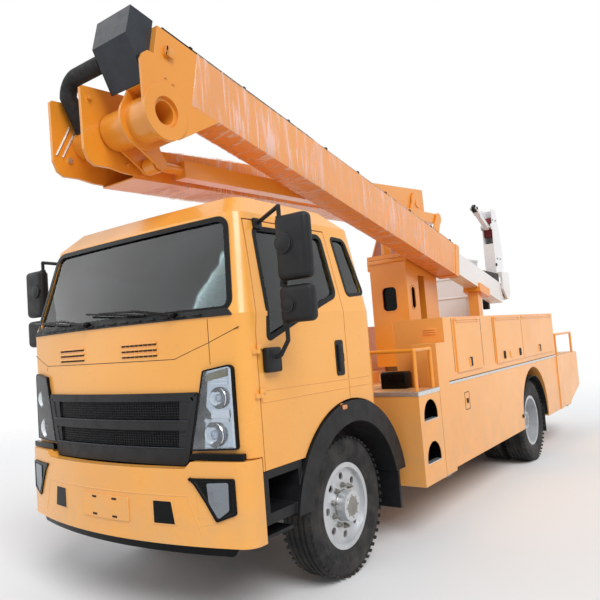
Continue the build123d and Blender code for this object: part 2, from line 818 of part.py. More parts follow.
def outrigger_boxes():
    """Cross tubes with the vertical leg housings at their ends."""
    solids = []
    for y_mid, half_x, leg_top in leg_places:
        y = at_y(y_mid)
        tube = block(-half_x, half_x, y - 75, y + 75, rail_bottom - 200, rail_bottom - 50)
        for sign in (-1, 1):
            x = sign * half_x
            tube = tube + block(sign * rail_half_gap, sign * rail_out, y - 75, y + 75,
                                rail_bottom - 55, rail_bottom - seat_gap)
            tube = tube + block(x - leg_half, x + leg_half, y - leg_half, y + leg_half, leg_bottom, leg_top)
        for sign in (-1, 1):
            x = sign * half_x
            bore = leg_half - leg_wall
            tube = tube - block(x - bore, x + bore, y - bore, y + bore, 0, leg_top - leg_wall)
        solids.append(tube)
    return solids


def jack(sign, y_mid, half_x, leg_top):
    x = sign * half_x
    y = at_y(y_mid)
    half = leg_half - leg_wall - leg_clear
    top = leg_top - leg_wall - 40
    leg = block(x - half, x + half, y - half, y + half, jack_bottom + 20, top)
    half = half - leg_wall
    leg = leg - block(x - half, x + half, y - half, y + half, jack_bottom + 40, top + 1)
    return leg + rod_z(jack_foot, jack_bottom, jack_bottom + 21, x, y)


def step_box(sign):
    """Boarding box between cab and locker with two half-moon step holes."""
    x0 = locker_inner_x()
    x1 = body_half_width
    y0 = at_y(step_front)
    y1 = at_y(step_rear)
    w = 6
    shape = block(x0, x1, y0, y1, step_bottom, deck_z)
    shape = shape - block(x0 - 10, x1 - w, y0 + w, y1 - w, step_bottom - 10, deck_z - w * 2)
    for low in step_hole_z:
        radius = step_hole_radius
        middle = (y0 + y1) / 2
        hole = rod_x(radius, x1 - 40, x1 + 20, middle, low)
        hole = hole & block(x1 - 50, x1 + 30, y0, y1, low, low + 2 * radius)
        hole = hole + block(x1 - 50, x1 + 30, middle - radius, middle + radius, low - 30, low)
        shape = shape - hole
    shape = shape + block(x0, x0 + w, y0 + 40, y1 - 40, deck_z - 60, deck_z - 11)
    return shape if sign > 0 else flipped(shape)


def rail_run(radius, points):
    """A handrail of straight tubes with ball-ended corners."""
    tube = None
    for start, end in zip(points[:-1], points[1:]):
        a = Vector(*start)
        b = Vector(*end)
        run = Plane(origin=a, z_dir=(b - a)) * Pos(0, 0, (b - a).length / 2) * Cylinder(radius, (b - a).length)
        tube = run if tube is None else tube + run
    for corner in points[1:-1]:
        tube = tube + Pos(*corner) * Sphere(radius)
    return tube


def railings():
    """Grab rails round the boarding decks and the tail platform."""
    solids = []
    top = deck_z + 340
    x_in = body_half_width - locker_depth + 60
    x_out = body_half_width - 30
    y0 = at_y(step_front + 40)
    y1 = at_y(step_rear - 60)
    front = rail_run(rail_tube, [(x_in, y0, deck_z), (x_in, y0, top), (x_out, y0, top), (x_out, y0, deck_z)])
    front = front + rail_run(rail_tube, [(x_out, y0, top), (x_out, y1, top), (x_out, y1, deck_z)])
    solids.append(front)
    solids.append(flipped(front))
    a = at_y(locker_rear + 150)
    b = tail_y - 120
    x = body_half_width - 40
    tail = rail_run(rail_tube, [(x, a, tail_deck_z), (x, a, tail_rail_top), (x, b, tail_rail_top), (x, b, tail_deck_z)])
    solids.append(tail)
    solids.append(flipped(tail))
    return solids


def tail_body():
    """Rear platform with its side panels, cut up at the rear corners."""
    a = at_y(locker_rear) + seat_gap
    b = tail_y
    x1 = body_half_width
    panel = side_plate([(a, locker_bottom), (a + 500, locker_bottom + 20), (b, tail_panel_low), (b, tail_deck_z),
                        (a, tail_deck_z)], x1 - 30, x1)
    deck = block(-x1 + 15, x1 - 15, a, b, tail_deck_z - tail_deck_thick, tail_deck_z)
    back = block(-x1 + 15, x1 - 15, b - 22, b, tail_panel_low, tail_deck_z - tail_deck_thick + 1)
    for sign in (-1, 1):
        back = back - block(sign * 800, sign * 1000, b - 50, b + 5, 850, 980)
    carrier = block(rail_half_gap, rail_out, a + 100, at_y(6400), rail_top + seat_gap, tail_deck_z - tail_deck_thick + 1)
    whole = deck + back
    for part in (panel, carrier):
        whole = whole + part + flipped(part)
    return whole


# ---------------------------------------------------------------- aerial device
def lower_frame(solid):
    """Put a piece drawn along +Y from the elbow onto the lower boom's line."""
    return Pos(0, at_y(elbow_y), elbow_z) * Rot(lower_tilt, 0, 0) * solid


def upper_frame(solid):
    """Put a piece drawn along +Y from the elbow onto the upper boom's line."""
    return Pos(0, at_y(elbow_y), elbow_z) * Rot(-upper_slope, 0, 0) * solid


def tip_point():
    """Y and Z of the pin at the inner boom's tip."""
    turn = radians(upper_slope)
    y = at_y(elbow_y) + inner_reach * cos(turn) + upper_lift * sin(turn)
    return y, elbow_z - inner_reach * sin(turn) + upper_lift * cos(turn)


def slew_ring():
    return rod_z(slew_radius * 0.78, deck_z + seat_gap, deck_z + slew_ring_height, 0, at_y(slew_y))


def turret():
    """Slewing column: base, hollow front column, rear pillar, head and pivot ears."""
    w = turret_half_width
    base_z = deck_z + slew_ring_height + ring_gap
    floor_z = base_z + 45
    y0 = at_y(turret_front)
    y1 = at_y(turret_rear)
    column_rear = y0 + turret_column
    shape = rod_z(slew_radius, base_z, floor_z, 0, at_y(slew_y))
    column = block(-w, w, y0, column_rear, base_z, turret_top)
    column = column - block(-w + plate, w - plate, y0 + plate, column_rear + 1, floor_z, turret_top + 1)
    window = rounded([(-95, 1960), (-95, 2250), (95, 2250), (95, 1960)], 60)
    column = column - extrude(Plane.XZ.offset(-(y0 + 60)) * window, amount=90)
    column = column - side_window([(y0 + 90, 1960), (y0 + 90, 2250), (y0 + 230, 2250), (y0 + 230, 1960)],
                                  -w - 5, w + 5, 50)
    front = at_y(turret_pillar_front)
    rear = at_y(turret_pillar_rear)
    pillar = block(-w, w, front, rear, base_z, turret_neck)
    pillar = pillar - block(-w + plate, w - plate, front + plate, rear - plate, floor_z, turret_neck + 1)
    shape = shape + column + pillar
    for x in (-w, w - plate):
        shape = shape + block(x, x + plate, column_rear - 5, y1, turret_neck - 120, turret_top)
        shape = shape + block(x, x + plate, y0, rear, base_z, floor_z + 140)
    edge = w + turret_ledge
    cap = block(-edge, edge, y0 - turret_ledge, y0 + 90, turret_top - 50, turret_top)
    shape = shape + cap - block(-w + plate, w - plate, y0 + plate, y0 + 100, turret_top - 60, turret_top + 10)
    shape = shape + pivot_ears(y0, y1)
    foot_y = at_y(lift_foot_y)
    lug = rod_x(tie_pin, lift_x - lift_half - lift_side - 20, lift_x + lift_half + lift_side + 20,
                foot_y, lift_foot_z)
    for x in (lift_x - lift_half - lift_side - 20, lift_x + lift_half + lift_side):
        lug = lug + block(x, x + 20, foot_y - 60, foot_y + 60, floor_z - 2, lift_foot_z + 50)
    return shape + lug


def pivot_ears(y0, y1):
    """Ears of the lower boom's pivot and of the tie link, with the tie link's pin."""
    w = turret_half_width
    pivot_y = at_y(lower_pivot_y)
    tie_y = pivot_y + tie_dy
    tie_z = lower_pivot_z + tie_dz
    low = turret_neck
    far_x = lower_x0 - ear_gap - plate
    near_x = lower_x1 + ear_gap
    base = [(y0 + 260, low), (pivot_y - 150, lower_pivot_z)]
    far = side_plate(base + [(pivot_y + 150, lower_pivot_z), (y1, low)], far_x, far_x + plate)
    near = side_plate(base + [(pivot_y + 150, lower_pivot_z), (tie_y + 70, tie_z), (tie_y + 40, tie_z - 70),
                              (y1, low)], near_x, near_x + plate)
    ears = far + near
    for x in (far_x, near_x):
        ears = ears + rod_x(150, x, x + plate, pivot_y, lower_pivot_z)
        ears = ears - rod_x(lower_pin + pin_gap, x - 1, x + plate + 1, pivot_y, lower_pivot_z)
    outer_x = tie_x1 + tie_side
    outer = side_plate([(pivot_y - 300, turret_top - plate), (tie_y - 70, tie_z + 20), (tie_y + 70, tie_z + 20),
                        (y1, turret_top - plate)], outer_x, outer_x + plate)
    outer = outer + rod_x(75, outer_x, outer_x + plate, tie_y, tie_z)
    ears = ears + outer + rod_x(tie_pin, near_x + 2, outer_x + 2, tie_y, tie_z)
    ears = ears + block(near_x, w, y0 + turret_column, y1, turret_top - plate, turret_top)
    return ears + block(far_x, -w + 1, y0 + 260, y1, low, low + 90)


def lower_boom():
    """Tapered box boom with head cheeks at the elbow, pivot pin and cylinder lugs."""
    rear = lower_span + lower_tail
    outer = [(lower_front, lower_front_top - lower_front_height), (rear, lower_rear_top - lower_rear_height),
             (rear, lower_rear_top), (lower_front, lower_front_top)]
    w = boom_wall
    inner = [(lower_front - 5, lower_front_top - lower_front_height + w),
             (rear + 5, lower_rear_top - lower_rear_height + w), (rear + 5, lower_rear_top - w),
             (lower_front - 5, lower_front_top - w)]
    boom = side_plate(outer, lower_x0, lower_x1) - side_plate(inner, lower_x0 + w, lower_x1 - w)
    boom = boom + rod_x(lower_pin, lower_x0 - ear_gap - plate - 15, lower_x1 + ear_gap + plate + 10, lower_span, 0)
    for x0 in (lower_x0 - 12, lower_x1 - 14):
        cheek = side_plate(cheek_outline, x0, x0 + 26)
        boom = boom + cheek - rod_x(elbow_shaft + pin_gap, x0 - 1, x0 + 27, 0, 0)
    pin_y = lower_span - lift_back
    lug_root = lower_rear_top - lower_rear_height + boom_wall / 2
    for x0 in (lift_x - lift_half - lift_side - 20, lift_x + lift_half + lift_side):
        lug = side_plate([(pin_y - 130, lug_root), (pin_y - 60, -lift_drop - 40),
                          (pin_y + 60, -lift_drop - 40), (pin_y + 130, lug_root)], x0, x0 + 20)
        boom = boom + lug
    return lower_frame(boom)


def tie_link():
    """Square tube with a slim front rod; it keeps the elbow shaft level."""
    mid = (tie_x0 + tie_x1) / 2
    h = tie_height / 2
    t = tie_wall
    link = block(tie_x0, tie_x1, tie_fork, lower_span, -h, h)
    link = link - block(tie_x0 + t, tie_x1 - t, tie_fork + t, lower_span - tie_eye, -h + t, h - t)
    link = link + rod_y(tie_height * 0.27, tie_eye - 8, tie_fork + 4, mid, 0)
    for y, radius in ((0, tie_eye), (lower_span, h)):
        link = link + rod_x(radius, tie_x0, tie_x1, y, 0)
    for y in (0, lower_span):
        link = link - rod_x(tie_pin + pin_gap, tie_x0 - 1, tie_x1 + 1, y, 0)
    return Pos(0, tie_dy, tie_dz) * lower_frame(link)


def elbow_knuckle():
    """Cross shaft that stays level, with the ears and pin of the tie link."""
    y = at_y(elbow_y)
    knuckle = rod_x(elbow_shaft, lower_x0 - 40, upper_x1 - 12, y, elbow_z)
    knuckle = knuckle + rod_x(elbow_collar, lower_x1 + 24, upper_x0 - ear_gap, y, elbow_z)
    knuckle = knuckle + rod_x(elbow_collar, lower_x0 - 45, lower_x0 - 20, y, elbow_z)
    for x in knuckle_ears:
        ear = side_plate([(y - 60, elbow_z - 100), (y + 60, elbow_z + 100), (y + tie_dy + 50, elbow_z + tie_dz + 10),
                          (y + tie_dy, elbow_z + tie_dz - 50)], x, x + plate - 2)
        knuckle = knuckle + ear + rod_x(52, x, x + plate - 2, y + tie_dy, elbow_z + tie_dz)
    knuckle = knuckle - rod_x(elbow_bore, lower_x0 - 50, upper_x1, y, elbow_z)
    first, last = knuckle_ears
    return knuckle + rod_x(tie_pin, first, last + plate - 2, y + tie_dy, elbow_z + tie_dz)


def elbow_hose():
    """Stiff hose elbow: it leaves the elbow shaft, turns and runs to the hood's side."""
    axis_y = at_y(elbow_y)
    y = axis_y - hose_forward
    top = elbow_z + hose_lift
    turn = Pos(hose_x + hose_bend, y, top - hose_bend) * Rot(90, 0, 0) * Torus(hose_bend, hose_radius)
    hose = turn & block(hose_x - hose_radius, hose_x + hose_bend, y - hose_radius, y + hose_radius,
                        top - hose_bend, top + hose_radius)
    hose = hose + rod_x(hose_radius, hose_x + hose_bend, hood_x0 - ear_gap, y, top)
    knee = Vector(hose_x, y, top - hose_bend)
    foot = Vector(hose_x, axis_y - elbow_shaft * 0.3, elbow_z + elbow_shaft * 0.5)
    leg = Plane(origin=knee, z_dir=foot - knee) * Cylinder(
        hose_radius, (foot - knee).length, align=(Align.CENTER, Align.CENTER, Align.MIN))
    leg = leg + Pos(knee) * Sphere(hose_radius)
    leg = leg - rod_x(elbow_shaft + seat_gap, lower_x0, lower_x1, axis_y, elbow_z)
    return hose + leg


def elbow_box():
    """Moulded hood on the upper boom's elbow end, with a brow across its front."""
    rear = upper_start - seat_gap
    front = rear - hood_length
    brow = (front - hood_brow, hood_top - hood_band)
    foot = (rear - hood_foot_length, hood_foot)
    cover = side_plate([(rear, hood_top), (front, hood_top), brow, foot, (rear, hood_foot)], hood_x0, hood_x1)
    room = make_face(Polyline((rear + 3 * hood_wall, hood_top), (front, hood_top), brow, foot,
                              (rear + 3 * hood_wall, hood_foot), close=True))
    room = extrude(Plane.YZ.offset(hood_x0 + hood_wall) * offset(room, amount=-hood_wall),
                   amount=hood_x1 - hood_x0 - 2 * hood_wall)
    return upper_frame(cover - room)


def upper_boom():
    """Outer section of the upper boom with its elbow plates, ring and end collar."""
    z0 = upper_lift - upper_height / 2
    z1 = upper_lift + upper_height / 2
    p = collar_proud
    boom = block(upper_x0, upper_x1, upper_start, upper_end, z0, z1)
    boom = boom + block(upper_x0 - p, upper_x1 + p, upper_end - collar_length, upper_end, z0 - p, z1 + p)
    w = boom_wall
    boom = boom - block(upper_x0 + w, upper_x1 - w, upper_start + plate, upper_end + 1, z0 + w, z1 - w)
    mid = (upper_x0 + upper_x1) / 2
    mouth = block(upper_x0 + 2, upper_x1 - 2, upper_end - collar_length, upper_end, z0 + 2, z1 - 2)
    hw = inner_width / 2 + slide_gap
    hh = inner_height / 2 + slide_gap
    mouth = mouth - block(mid - hw, mid + hw, upper_end - collar_length - 1, upper_end + 1,
                          upper_lift - hh, upper_lift + hh)
    boom = boom + mouth
    tail = [(upper_start, z1), (900, z0 + 1), (500, z0 + 1), (150, -130)]
    far = side_plate([(-upper_ring, 0), (upper_start, hood_foot - ear_gap)] + tail, upper_x0, upper_x0 + plate)
    near = side_plate([(-upper_ring, 0)] + near_plate_front + [(upper_start, z0 + near_plate_rise)] + tail,
                      upper_x1 - plate, upper_x1)
    for x in (upper_x0, upper_x1 - plate):
        boom = boom + rod_x(upper_ring, x, x + plate, 0, 0)
    boom = boom + far + near + rod_x(upper_ring - 40, upper_x0 + 1, upper_x1 - 1, 0, 0)
    boom = boom + rod_x(upper_ring, upper_x1 - 1, upper_x1 + 12, 0, 0)
    boom = boom - rod_x(elbow_shaft + pin_gap, upper_x0 - 1, upper_x1 + 20, 0, 0)
    return upper_frame(boom)


def inner_boom():
    """Telescoping section with wear pads at its hidden end and a tongue at its tip."""
    mid = (upper_x0 + upper_x1) / 2
    z0 = upper_lift - inner_height / 2
    z1 = upper_lift + inner_height / 2
    half = inner_width / 2
    w = boom_wall
    boom = block(mid - half, mid + half, inner_start, inner_tip, z0, z1)
    pad_x = (upper_x1 - upper_x0) / 2 - boom_wall - slide_gap
    pad_z = upper_height / 2 - boom_wall - slide_gap
    boom = boom + block(mid - pad_x, mid + pad_x, inner_start, inner_start + collar_length,
                        upper_lift - pad_z, upper_lift + pad_z)
    boom = boom - block(mid - half + w, mid + half - w, inner_start - 1, inner_tip - plate, z0 + w, z1 - w)
    tongue = side_plate([(inner_tip - 30, z0 + 20), (inner_reach, upper_lift - tip_eye), (inner_reach, upper_lift + tip_eye),
                         (inner_tip - 30, z1 - 20)], mid - half + w, mid + half - w)
    tongue = tongue + rod_x(tip_eye, mid - half + w, mid + half - w, inner_reach, upper_lift)
    boom = boom + tongue - rod_x(tip_pin + pin_gap, 0, 2 * mid, inner_reach, upper_lift)
    return upper_frame(boom)


def boom_shoe():
    """Saddle under the inner boom that lies on the rest post."""
    mid = (upper_x0 + upper_x1) / 2
    half = inner_width / 2
    low = upper_lift - inner_height / 2
    shoe = block(mid - half - 25, mid + half + 25, shoe_start, shoe_end, low - shoe_depth, low - seat_gap)
    for sign in (-1, 1):
        x = mid + sign * (half + seat_gap)
        shoe = shoe + block(x, x + sign * (25 - seat_gap), shoe_start, shoe_end, low - shoe_depth, low + 60)
    return upper_frame(shoe)


def platform_bracket():
    """Fork on the boom's tip that stays level, with the jib column and tilt pin."""
    y, z = tip_point()
    mid = (upper_x0 + upper_x1) / 2
    half = inner_width / 2 + tip_side
    x0 = mid - half - 30
    x1 = mid + half + 30
    head = block(x0, x1, y - 190, y + 150, z + head_low, z + head_high)
    outline = [(y - 60, z - 30), (y + 60, z - 30), (y + 150, z + 60), (y + 150, z + head_high),
               (y - 190, z + head_high), (y - 190, z + 100)]
    bracket = head
    for start, end in ((x0, mid - half), (mid + half, x1)):
        bracket = bracket + side_plate(outline, start, end) + rod_x(60, start, end, y, z)
    bracket = bracket + rod_x(tip_pin, x0, x1, y, z)
    bucket_x1 = bucket_x0 + bucket_side
    bracket = bracket + rod_x(tilt_pin, bucket_x1 + tilt_end_gap, x0 + 4, at_y(tilt_pivot_y), tilt_pivot_z)
    outline = [(at_y(along), height) for along, height in column_outline]
    column = side_plate(outline, column_x0, column_x1)
    room = block(column_x0 + column_wall, column_x1 - column_wall, y - 400, y + 400, column_box_top, 3600)
    web = [(at_y(along), height) for along, height in column_outline[3:5]]
    web = web + [(along - column_wall * 2, height) for along, height in reversed(web)]
    column = column - room + side_plate(web, column_x0 + 1, column_x1 - 1)
    pivot_y = y + jib_pivot_dy
    pivot_z = z + jib_pivot_dz
    for start in (column_x0, column_x1 - column_wall):
        column = column + rod_x(jib_eye + 6, start, start + column_wall, pivot_y, pivot_z)
    column = column + rod_x(jib_pin, column_x0 - 8, column_x1 + 8, pivot_y, pivot_z)
    return bracket + column


def jib_boom():
    """Small lifting jib between the column's plates, with a pulley fork at its nose."""
    y, z = tip_point()
    mid = (column_x0 + column_x1) / 2
    jib = block(mid - jib_half, mid + jib_half, -jib_length + 60, -10, -jib_half, jib_half)
    jib = jib + rod_x(jib_eye, mid - jib_half, mid + jib_half, 0, 0)
    for x in (mid - jib_half - 10, mid + jib_half - 1):
        jib = jib + block(x, x + 11, -jib_length - 25, -jib_length + 150, -28, 28)
    jib = jib - rod_x(jib_pin + pin_gap, mid - 60, mid + 60, 0, 0)
    jib = jib + rod_x(50, mid - 16, mid + 16, -jib_length, 0)
    jib = jib + rod_x(16, mid - jib_half - 14, mid + jib_half + 14, -jib_length, 0)
    return Pos(0, y + jib_pivot_dy, z + jib_pivot_dz) * Rot(-jib_rise, 0, 0) * jib


def bucket():
    """Open work platform with a lip round its top and the socket of the tilt pin."""
    x1 = bucket_x0 + bucket_side
    y0 = at_y(bucket_y0)
    y1 = y0 + bucket_side
    top = bucket_floor_z + bucket_height
    w = bucket_wall
    shell = block(bucket_x0, x1, y0, y1, bucket_floor_z, top)
    shell = fillet(shell.edges().filter_by(Axis.Z), 60)
    lip = block(bucket_x0 - bucket_lip, x1 + bucket_lip, y0 - bucket_lip, y1 + bucket_lip, top - 30, top)
    shell = shell + fillet(lip.edges().filter_by(Axis.Z), 70)
    cavity = block(bucket_x0 + w, x1 - w, y0 + w, y1 - w, bucket_floor_z + 12, top + 5)
    shell = shell - fillet(cavity.edges().filter_by(Axis.Z), 52)
    y = at_y(tilt_pivot_y)
    socket = rod_x(tilt_pin + 24, x1 - 1, x1 + tilt_socket, y, tilt_pivot_z)
    socket = socket + block(x1 - 1, x1 + w, y - 120, y + 120, tilt_pivot_z - 150, tilt_pivot_z + 150)
    socket = socket - rod_x(tilt_pin + pin_gap, x1 + w, x1 + tilt_socket + 1, y, tilt_pivot_z)
    return shell + socket


def lift_ends():
    """Foot pin and rod eye of the lift cylinder as (y, z)."""
    turn = radians(lower_tilt)
    along = lower_span - lift_back
    eye_y = at_y(elbow_y) + along * cos(turn) + lift_drop * sin(turn)
    eye_z = elbow_z + along * sin(turn) - lift_drop * cos(turn)
    return at_y(lift_foot_y), lift_foot_z, eye_y, eye_z


def lift_frame(solid):
    """Put a piece drawn along +Z from the foot pin onto the cylinder's line."""
    foot_y, foot_z, eye_y, eye_z = lift_ends()
    lean = degrees(atan2(foot_y - eye_y, eye_z - foot_z))
    return Pos(lift_x, foot_y, foot_z) * Rot(lean, 0, 0) * solid


def lift_pieces():
    """Barrel and rod of the lift cylinder."""
    foot_y, foot_z, eye_y, eye_z = lift_ends()
    length = hypot(eye_y - foot_y, eye_z - foot_z)
    barrel_end = length - 120
    barrel = rod_z(lift_barrel, 40, barrel_end, 0, 0) + rod_x(55, -lift_half, lift_half, 0, 0)
    barrel = barrel - rod_z(lift_bore, 75, barrel_end - 40, 0, 0)
    barrel = barrel - rod_z(lift_rod_radius + pin_gap, 75, barrel_end + 1, 0, 0)
    barrel = barrel - rod_x(tie_pin + pin_gap, -lift_half - 1, lift_half + 1, 0, 0)
    rod = rod_z(lift_rod_radius, 90, length, 0, 0) + rod_x(48, -lift_half, lift_half, 0, length)
    rod = rod + rod_x(28, -lift_half - 8, lift_half + 8, 0, length)
    return lift_frame(barrel), lift_frame(rod)


# ---------------------------------------------------------------- files
for name, solids in (("chassis_frame", [chassis_frame()]), ("axles", axles()), ("driveline", [driveline()]),
                     ("side_tanks", side_tanks()), ("cab_shell", [cab_shell()]), ("cab_glass", cab_glass()),
                     ("grille", [grille()]), ("bumper", [bumper()]), ("lamps", lamps()),
                     ("cab_interior", cab_interior()), ("cab_lower_trim", cab_lower_trim()),
                     ("subframe", [subframe()]), ("outrigger_boxes", outrigger_boxes()),
                     ("step_boxes", [step_box(-1), step_box(1)]), ("railings", railings()),
                     ("tail_body", [tail_body()]), ("slew_ring", [slew_ring()]), ("turret", [turret()]),
                     ("lower_boom", [lower_boom()]), ("tie_link", [tie_link()]),
                     ("elbow_knuckle", [elbow_knuckle()]), ("elbow_hose", [elbow_hose()]),
                     ("upper_boom", [upper_boom()]), ("elbow_box", [elbow_box()]),
                     ("inner_boom", [inner_boom()]), ("boom_shoe", [boom_shoe()]),
                     ("platform_bracket", [platform_bracket()]), ("jib_boom", [jib_boom()]),
                     ("bucket", [bucket()])):
    save(name, *solids)

for side, sign in (("right", -1), ("left", 1)):
    save("door_" + side, door(sign))
    save("door_glass_" + side, door_glass(sign))
    save("mirrors_" + side, mirrors(sign))
    save("knuckle_" + side, steering_knuckle(sign))
    tyre, rim = front_wheel(sign)
    save("front_tyre_" + side, tyre)
    save("front_rim_" + side, rim)
    tyres, rim = rear_wheel(sign)
    save("rear_tyres_" + side, *tyres)
    save("rear_rims_" + side, rim)
    save("locker_" + side, locker(sign))
    for number, (start, end) in enumerate(lid_spans, 1):
        save("lid_" + side + "_" + str(number), lid(sign, start, end))
    for place, (y_mid, half_x, leg_top) in zip(("front", "rear"), leg_places):
        save("jack_" + place + "_" + side, jack(sign, y_mid, half_x, leg_top))

barrel_solid, rod_solid = lift_pieces()
save("lift_barrel", barrel_solid)
save("lift_rod", rod_solid)
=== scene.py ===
"""Looks of a cherry picker truck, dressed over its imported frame."""

import math
import random

import bmesh
import bpy
from mathutils import Matrix, Vector


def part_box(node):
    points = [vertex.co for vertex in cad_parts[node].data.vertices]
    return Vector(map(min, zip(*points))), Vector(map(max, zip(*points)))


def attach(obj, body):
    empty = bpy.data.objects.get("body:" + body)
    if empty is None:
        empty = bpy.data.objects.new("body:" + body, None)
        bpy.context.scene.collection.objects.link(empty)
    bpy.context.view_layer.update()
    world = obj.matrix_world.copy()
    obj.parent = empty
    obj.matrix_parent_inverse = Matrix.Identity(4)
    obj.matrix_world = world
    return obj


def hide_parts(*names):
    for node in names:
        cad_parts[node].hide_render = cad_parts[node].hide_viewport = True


bl_info = {
    "name": "Cherry Picker Truck",
    "version": (1, 0, 0),
    "blender": (4, 5, 0),
    "location": "View3D > Sidebar > Truck",
    "description": "Builds the finishes, trim and stage of a cherry picker truck",
    "category": "Add Mesh",
}

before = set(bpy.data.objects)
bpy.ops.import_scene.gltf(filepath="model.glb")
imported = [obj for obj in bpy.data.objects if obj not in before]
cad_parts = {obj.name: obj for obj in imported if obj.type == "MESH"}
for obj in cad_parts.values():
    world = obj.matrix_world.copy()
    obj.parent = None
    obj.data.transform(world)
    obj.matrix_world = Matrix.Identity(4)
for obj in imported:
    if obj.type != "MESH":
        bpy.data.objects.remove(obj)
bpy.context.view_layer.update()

SIDES = (("right", -1), ("left", 1))
FRONT_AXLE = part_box("front_rim_left")[0].lerp(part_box("front_rim_left")[1], 0.5)

# Pitch of the cuts that let a sheet follow the bowed front, across it and up it.
SLICE_ACROSS = 0.08
SLICE_UP = 0.1


def shade(red, green, blue):
    """A linear colour from eight-bit display values."""
    parts = []
    for value in (red, green, blue):
        value = value / 255
        parts.append(value / 12.92 if value <= 0.04045 else ((value + 0.055) / 1.055) ** 2.4)
    return (*parts, 1.0)


def colour_property(name, description, red, green, blue):
    """A colour that a user may change, from eight-bit display values."""
    return bpy.props.FloatVectorProperty(
        name=name, description=description, default=shade(red, green, blue), size=4, min=0, max=1,
        subtype="COLOR"
    )


def length_property(name, description, default):
    """A length in metres that a user may change."""
    return bpy.props.FloatProperty(
        name=name, description=description, default=default, min=0.0001, subtype="DISTANCE", unit="LENGTH"
    )


class TruckFinish(bpy.types.PropertyGroup):
    """Colours of the truck."""

    cab: colour_property("Cab", "Main colour of the cab", 245, 172, 76)
    body: colour_property("Body", "Main colour of the lockers and decks", 247, 172, 88)
    boom: colour_property("Boom", "Main colour of the aerial device", 240, 156, 48)
    white: colour_property("White", "Insulated boom and jib", 236, 236, 238)
    plastic: colour_property("Black plastic", "Moulded trim", 17, 18, 20)
    chassis: colour_property("Chassis", "Painted steel below the bodies", 22, 23, 25)
    silver: colour_property("Silver", "Painted wheel rims", 199, 201, 204)
    seat: colour_property("Seat", "Seat cloth", 92, 92, 96)
    amber: colour_property("Amber", "Marker lenses", 222, 128, 16)
    red: colour_property("Red", "Tail lenses and the deck's cap", 190, 24, 18)


class TruckSizes(bpy.types.PropertyGroup):
    """Sizes of the trim and the wheels' fittings."""

    groove: length_property("Tread groove", "Depth of the grooves in the tread", 0.011)
    nut_circle: length_property("Nut circle", "Radius of the wheel nuts' circle", 0.143)
    nut: length_property("Nut", "Radius across a wheel nut's corners", 0.017)
    trim: length_property("Trim", "How far the cab's flat trim stands proud", 0.003)
    seam: length_property("Seam", "Width of a panel seam", 0.006)
    film: length_property("Film gap", "How far the film wrap stands off the booms", 0.006)
    wheel_nuts: bpy.props.IntProperty(
        name="Wheel nuts", description="Nuts on each wheel", default=10, min=4
    )
    lugs: bpy.props.IntProperty(
        name="Tread lugs", description="Shoulder lugs round a tyre", default=54, min=12
    )


class TruckStage(bpy.types.PropertyGroup):
    """Floor, lights and camera."""

    floor: colour_property("Floor", "Colour of the floor", 236, 236, 236)
    key: bpy.props.FloatProperty(
        name="Key light", description="Strength of the soft sun", default=2.0, min=0
    )
    ambient: bpy.props.FloatProperty(
        name="Ambient", description="Strength of the plain surroundings", default=0.55, min=0
    )
    camera: bpy.props.FloatVectorProperty(
        name="Camera", description="Place of the camera", default=(3.405, -6.492, 1.696),
        subtype="TRANSLATION"
    )
    aim: bpy.props.FloatVectorProperty(
        name="Aim", description="Turn, pitch and roll of the camera in degrees", default=(37.062, 4.018, -4.3)
    )
    lens: bpy.props.FloatProperty(name="Lens", description="Focal length in millimetres", default=36.954)


